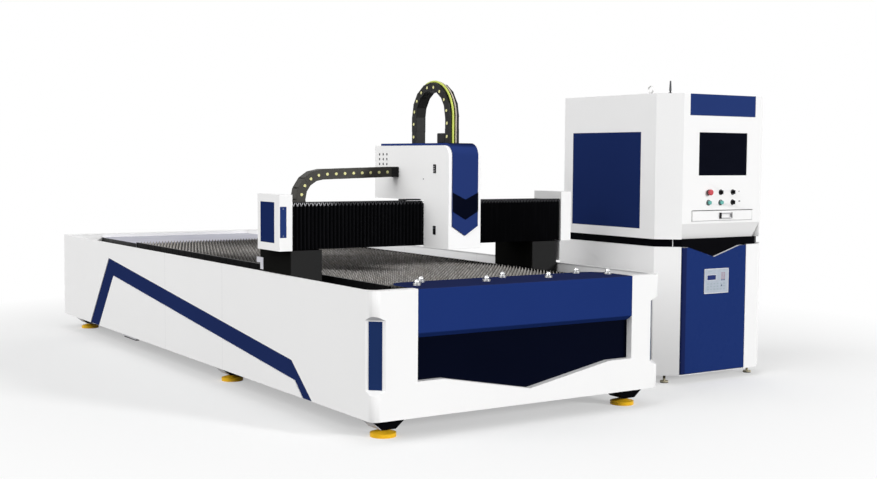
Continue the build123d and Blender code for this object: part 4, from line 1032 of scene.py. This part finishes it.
def head_fittings():
    """Contacts of the two sockets, a plug screw and a black plate over the bellows beside the carriage
    cover.
    """
    low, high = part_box("head_sockets")
    cover_low, cover_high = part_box("head_cover")
    cloth_low, cloth_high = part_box("left_bellows")
    finishes = [seam_gray, black_plastic, screw_gray]
    mesh, close = group("head_fittings", "carriage", finishes)
    middle = (low.y + high.y) / 2
    for row in (-1, 0, 1):
        height = high.z - contact_drop + row * contact_pitch
        bar(mesh, upright, contact_size, (low.x, middle + contact_shift, height))
    bar(mesh, upright, latch_size, (low.x, middle, low.z + latch_rise), edge=trim_edge, finish=2)
    plug = Matrix.Translation((cover_low.x, cover_low.y + plug_back, cover_high.z - plug_drop)) @ facing_left
    rod(mesh, plug, plug_radius, plug_height, finish=1)
    side_plate = Vector((cover_low.x - side_plate_gap, cloth_low.y + side_plate_back, cloth_high.z + side_plate_gap))
    side_plate += Vector((-side_plate_size.x, 0, side_plate_size.z)) / 2
    bar(mesh, upright, side_plate_size, side_plate, edge=side_plate_edge, finish=1)
    close()


def leg_bracket():
    """Sensor bracket bolted to the back of the left leg."""
    low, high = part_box("left_leg")
    mesh, close = group("leg_bracket", "gantry", [bracket_gray])
    corner = Vector((low.x, high.y, high.z))
    for size, shift in bracket_plates:
        bar(mesh, upright, size, corner + Vector(shift), edge=bracket_edge)
    close()


def foot_gussets():
    """Bare steel gussets on the brackets of the levelling feet."""
    low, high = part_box("foot_brackets")
    mesh, close = group("foot_gussets", "base", [bracket_gray])
    drop = high.z - low.z
    lean = math.atan2(drop, gusset_span)
    plate = (math.hypot(drop, gusset_span) * gusset_share, gusset_width, gusset_sheet)
    for row in (low.y + gusset_width / 2, gusset_middle, high.y - gusset_width / 2):
        for outer, side in ((low.x, 1), (high.x, -1)):
            place = Matrix.Translation((outer + side * gusset_span / 2, row, high.z - drop / 2))
            place = place @ Matrix.Rotation(side * lean, 4, "Y")
            bar(mesh, place, plate, (-side * gusset_shift, 0, -gusset_seat), edge=gusset_edge)
    close()


def fork_pocket():
    """Lips of the fork pockets under the long sides, each with a black bar under it as painted shade in the
    pocket's mouth.
    """
    low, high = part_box("side_covers")
    mesh, close = group("fork_pocket", "base", [bracket_gray, black_plastic])
    for x in (low.x + pocket_inset, high.x - pocket_inset):
        bar(mesh, upright, pocket_lip, (x, pocket_middle, low.z - lip_drop), edge=pocket_edge)
        # Black bar: painted shade in the pocket's mouth
        bar(mesh, upright, pocket_mouth_shade, (x, pocket_middle, low.z - mouth_drop), edge=pocket_edge, finish=1)
    close()


def vent_shades():
    """Black squares set in the vents of the carriage cover, as painted shade inside them."""
    low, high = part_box("head_cover")
    mesh, close = group("vent_shades", "carriage", [black_plastic])
    for x in (low.x + vent_inset, high.x - vent_inset):
        for row in (-1, 0, 1):
            for column in (-1, 0, 1):
                y = high.y - vent_front + vent_pitch[0] * column
                bar(mesh, upright, vent_size, (x, y, high.z - vent_drop + vent_pitch[1] * row))
    close()


def channel_ends():
    """Plates that close the rail channels at the back of the bed."""
    low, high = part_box("side_covers")
    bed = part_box("side_frames")[1]
    mesh, close = group("channel_end_plates", "base", [white_paint])
    size = (end_plate_width, end_plate_sheet, high.z - bed.z)
    inset = end_plate_inset + end_plate_width / 2
    height = (high.z + bed.z) / 2 - end_plate_drop
    for x in (low.x + inset, high.x - inset):
        bar(mesh, upright, size, (x, bed.y + end_plate_sheet, height))
    close()


def rear_louvres():
    """Pressed louvres in the back of the upper cabinet."""
    low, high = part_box("cabinet_upper")
    mesh, close = group("rear_louvres", "base", [white_paint])
    middle = (low.x + high.x) / 2
    for side in (-1, 1):
        for row in range(louvre_rows):
            height = low.z + louvre_rise + louvre_pitch * row
            place = Matrix.Translation((middle + side * louvre_spread, high.y, height))
            place = place @ Matrix.Rotation(louvre_lean, 4, "X")
            bar(mesh, place, louvre_size, edge=louvre_edge)
    close()


def antenna_sleeve():
    """Moulded sleeve of the aerial on the cabinet."""
    low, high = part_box("antenna")
    mesh, close = group("antenna_sleeve", "base", [antenna_gray])
    middle = (low + high) / 2
    bmesh.ops.create_cone(
        mesh,
        cap_ends=True,
        segments=20,
        radius1=sleeve_foot,
        radius2=sleeve_tip,
        depth=sleeve_height,
        matrix=Matrix.Translation((middle.x, middle.y, high.z - sleeve_height / 2)),
    )
    close()


def band_bright_line():
    """Bright line on the black band at the cabinet's left corner."""
    low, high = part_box("cabinet_band")
    mesh, close = group("band_bright_line", "base", [seam_gray])
    place = Matrix.Translation((low.x + bright_line_right, low.y + bright_line_back, high.z - bright_line_drop))
    bar(mesh, place @ Matrix.Rotation(bright_line_slant, 4, "Z"), bright_line_size)
    close()


keypad()
control_collars()
drawer_gap_shadow()
end_box_screws()
head_fittings()
leg_bracket()
foot_gussets()
fork_pocket()
vent_shades()
channel_ends()
rear_louvres()
antenna_sleeve()
band_bright_line()


# Camera, light and floor


def set_camera():
    """Camera at the photograph's place."""
    forward = Vector(
        (
            math.sin(camera_turn) * math.cos(camera_pitch),
            math.cos(camera_turn) * math.cos(camera_pitch),
            -math.sin(camera_pitch),
        )
    )
    level = Vector((math.cos(camera_turn), -math.sin(camera_turn), 0))
    down = forward.cross(level)
    right = level * math.cos(camera_roll) + down * math.sin(camera_roll)
    below = down * math.cos(camera_roll) - level * math.sin(camera_roll)
    lens = bpy.data.cameras.new("camera")
    lens.sensor_width = sensor_width
    lens.lens = sensor_width * focal_pixels / image_width
    camera = bpy.data.objects.new("camera", lens)
    scene.collection.objects.link(camera)
    turn = Matrix((right, -below, -forward)).transposed().to_4x4()
    camera.matrix_world = Matrix.Translation(camera_place) @ turn
    scene.camera = camera


def seen_rays(tree):
    """One where a ray comes from the camera, a mirror or a glass."""
    path = tree.nodes.new("ShaderNodeLightPath")
    bounced = maths(tree, "MAXIMUM", path.outputs["Is Glossy Ray"], path.outputs["Is Transmission Ray"])
    return maths(tree, "MAXIMUM", path.outputs["Is Camera Ray"], bounced)


def set_world():
    """Even white studio around the machine."""
    world = bpy.data.worlds.new("studio")
    world.use_nodes = True
    tree = world.node_tree
    sky = tree.nodes["Background"]
    sky.inputs["Color"].default_value = (1, 1, 1, 1)
    tree.links.new(remap(tree, seen_rays(tree), ambient_level, 1.0, 0.0, 1.0), sky.inputs["Strength"])
    scene.world = world


def set_lamp(name, level, direction, spread):
    """Broad soft light from one side."""
    lamp = bpy.data.lights.new(name, "SUN")
    lamp.energy = level
    lamp.angle = spread
    sun = bpy.data.objects.new(name, lamp)
    sun.rotation_mode = "QUATERNION"
    sun.rotation_quaternion = direction.to_track_quat("-Z", "Y")
    scene.collection.objects.link(sun)


def set_floor():
    """Pale floor that takes the shadow and fades into the background."""
    material, tree, shade, place = new_surface("pale_floor")
    seen = seen_rays(tree)
    bounce = (floor_bounce, floor_bounce, floor_bounce)
    tree.links.new(mix(tree, seen, bounce, floor_colour), shade.inputs["Base Color"])
    shade.inputs["Roughness"].default_value = floor_rough
    shade.inputs["Specular IOR Level"].default_value = 0.0
    reach = tree.nodes.new("ShaderNodeVectorMath")
    reach.operation = "LENGTH"
    tree.links.new(place, reach.inputs[0])
    glow_share = remap(tree, reach.outputs["Value"], floor_glow, 1.0, *floor_fade)
    glow = tree.nodes.new("ShaderNodeEmission")
    join = tree.nodes.new("ShaderNodeMixShader")
    tree.links.new(maths(tree, "MULTIPLY", glow_share, seen), join.inputs[0])
    tree.links.new(shade.outputs["BSDF"], join.inputs[1])
    tree.links.new(glow.outputs["Emission"], join.inputs[2])
    tree.links.new(join.outputs["Shader"], tree.nodes["Material Output"].inputs["Surface"])
    mesh = bmesh.new()
    bmesh.ops.create_grid(mesh, x_segments=1, y_segments=1, size=floor_half)
    finished("floor", mesh, [material])


scene.view_settings.view_transform = "Standard"
set_camera()
set_world()
set_lamp("key_light", key_level, key_direction, key_spread)
set_lamp("fill_light", fill_level, fill_direction, fill_spread)
set_floor()
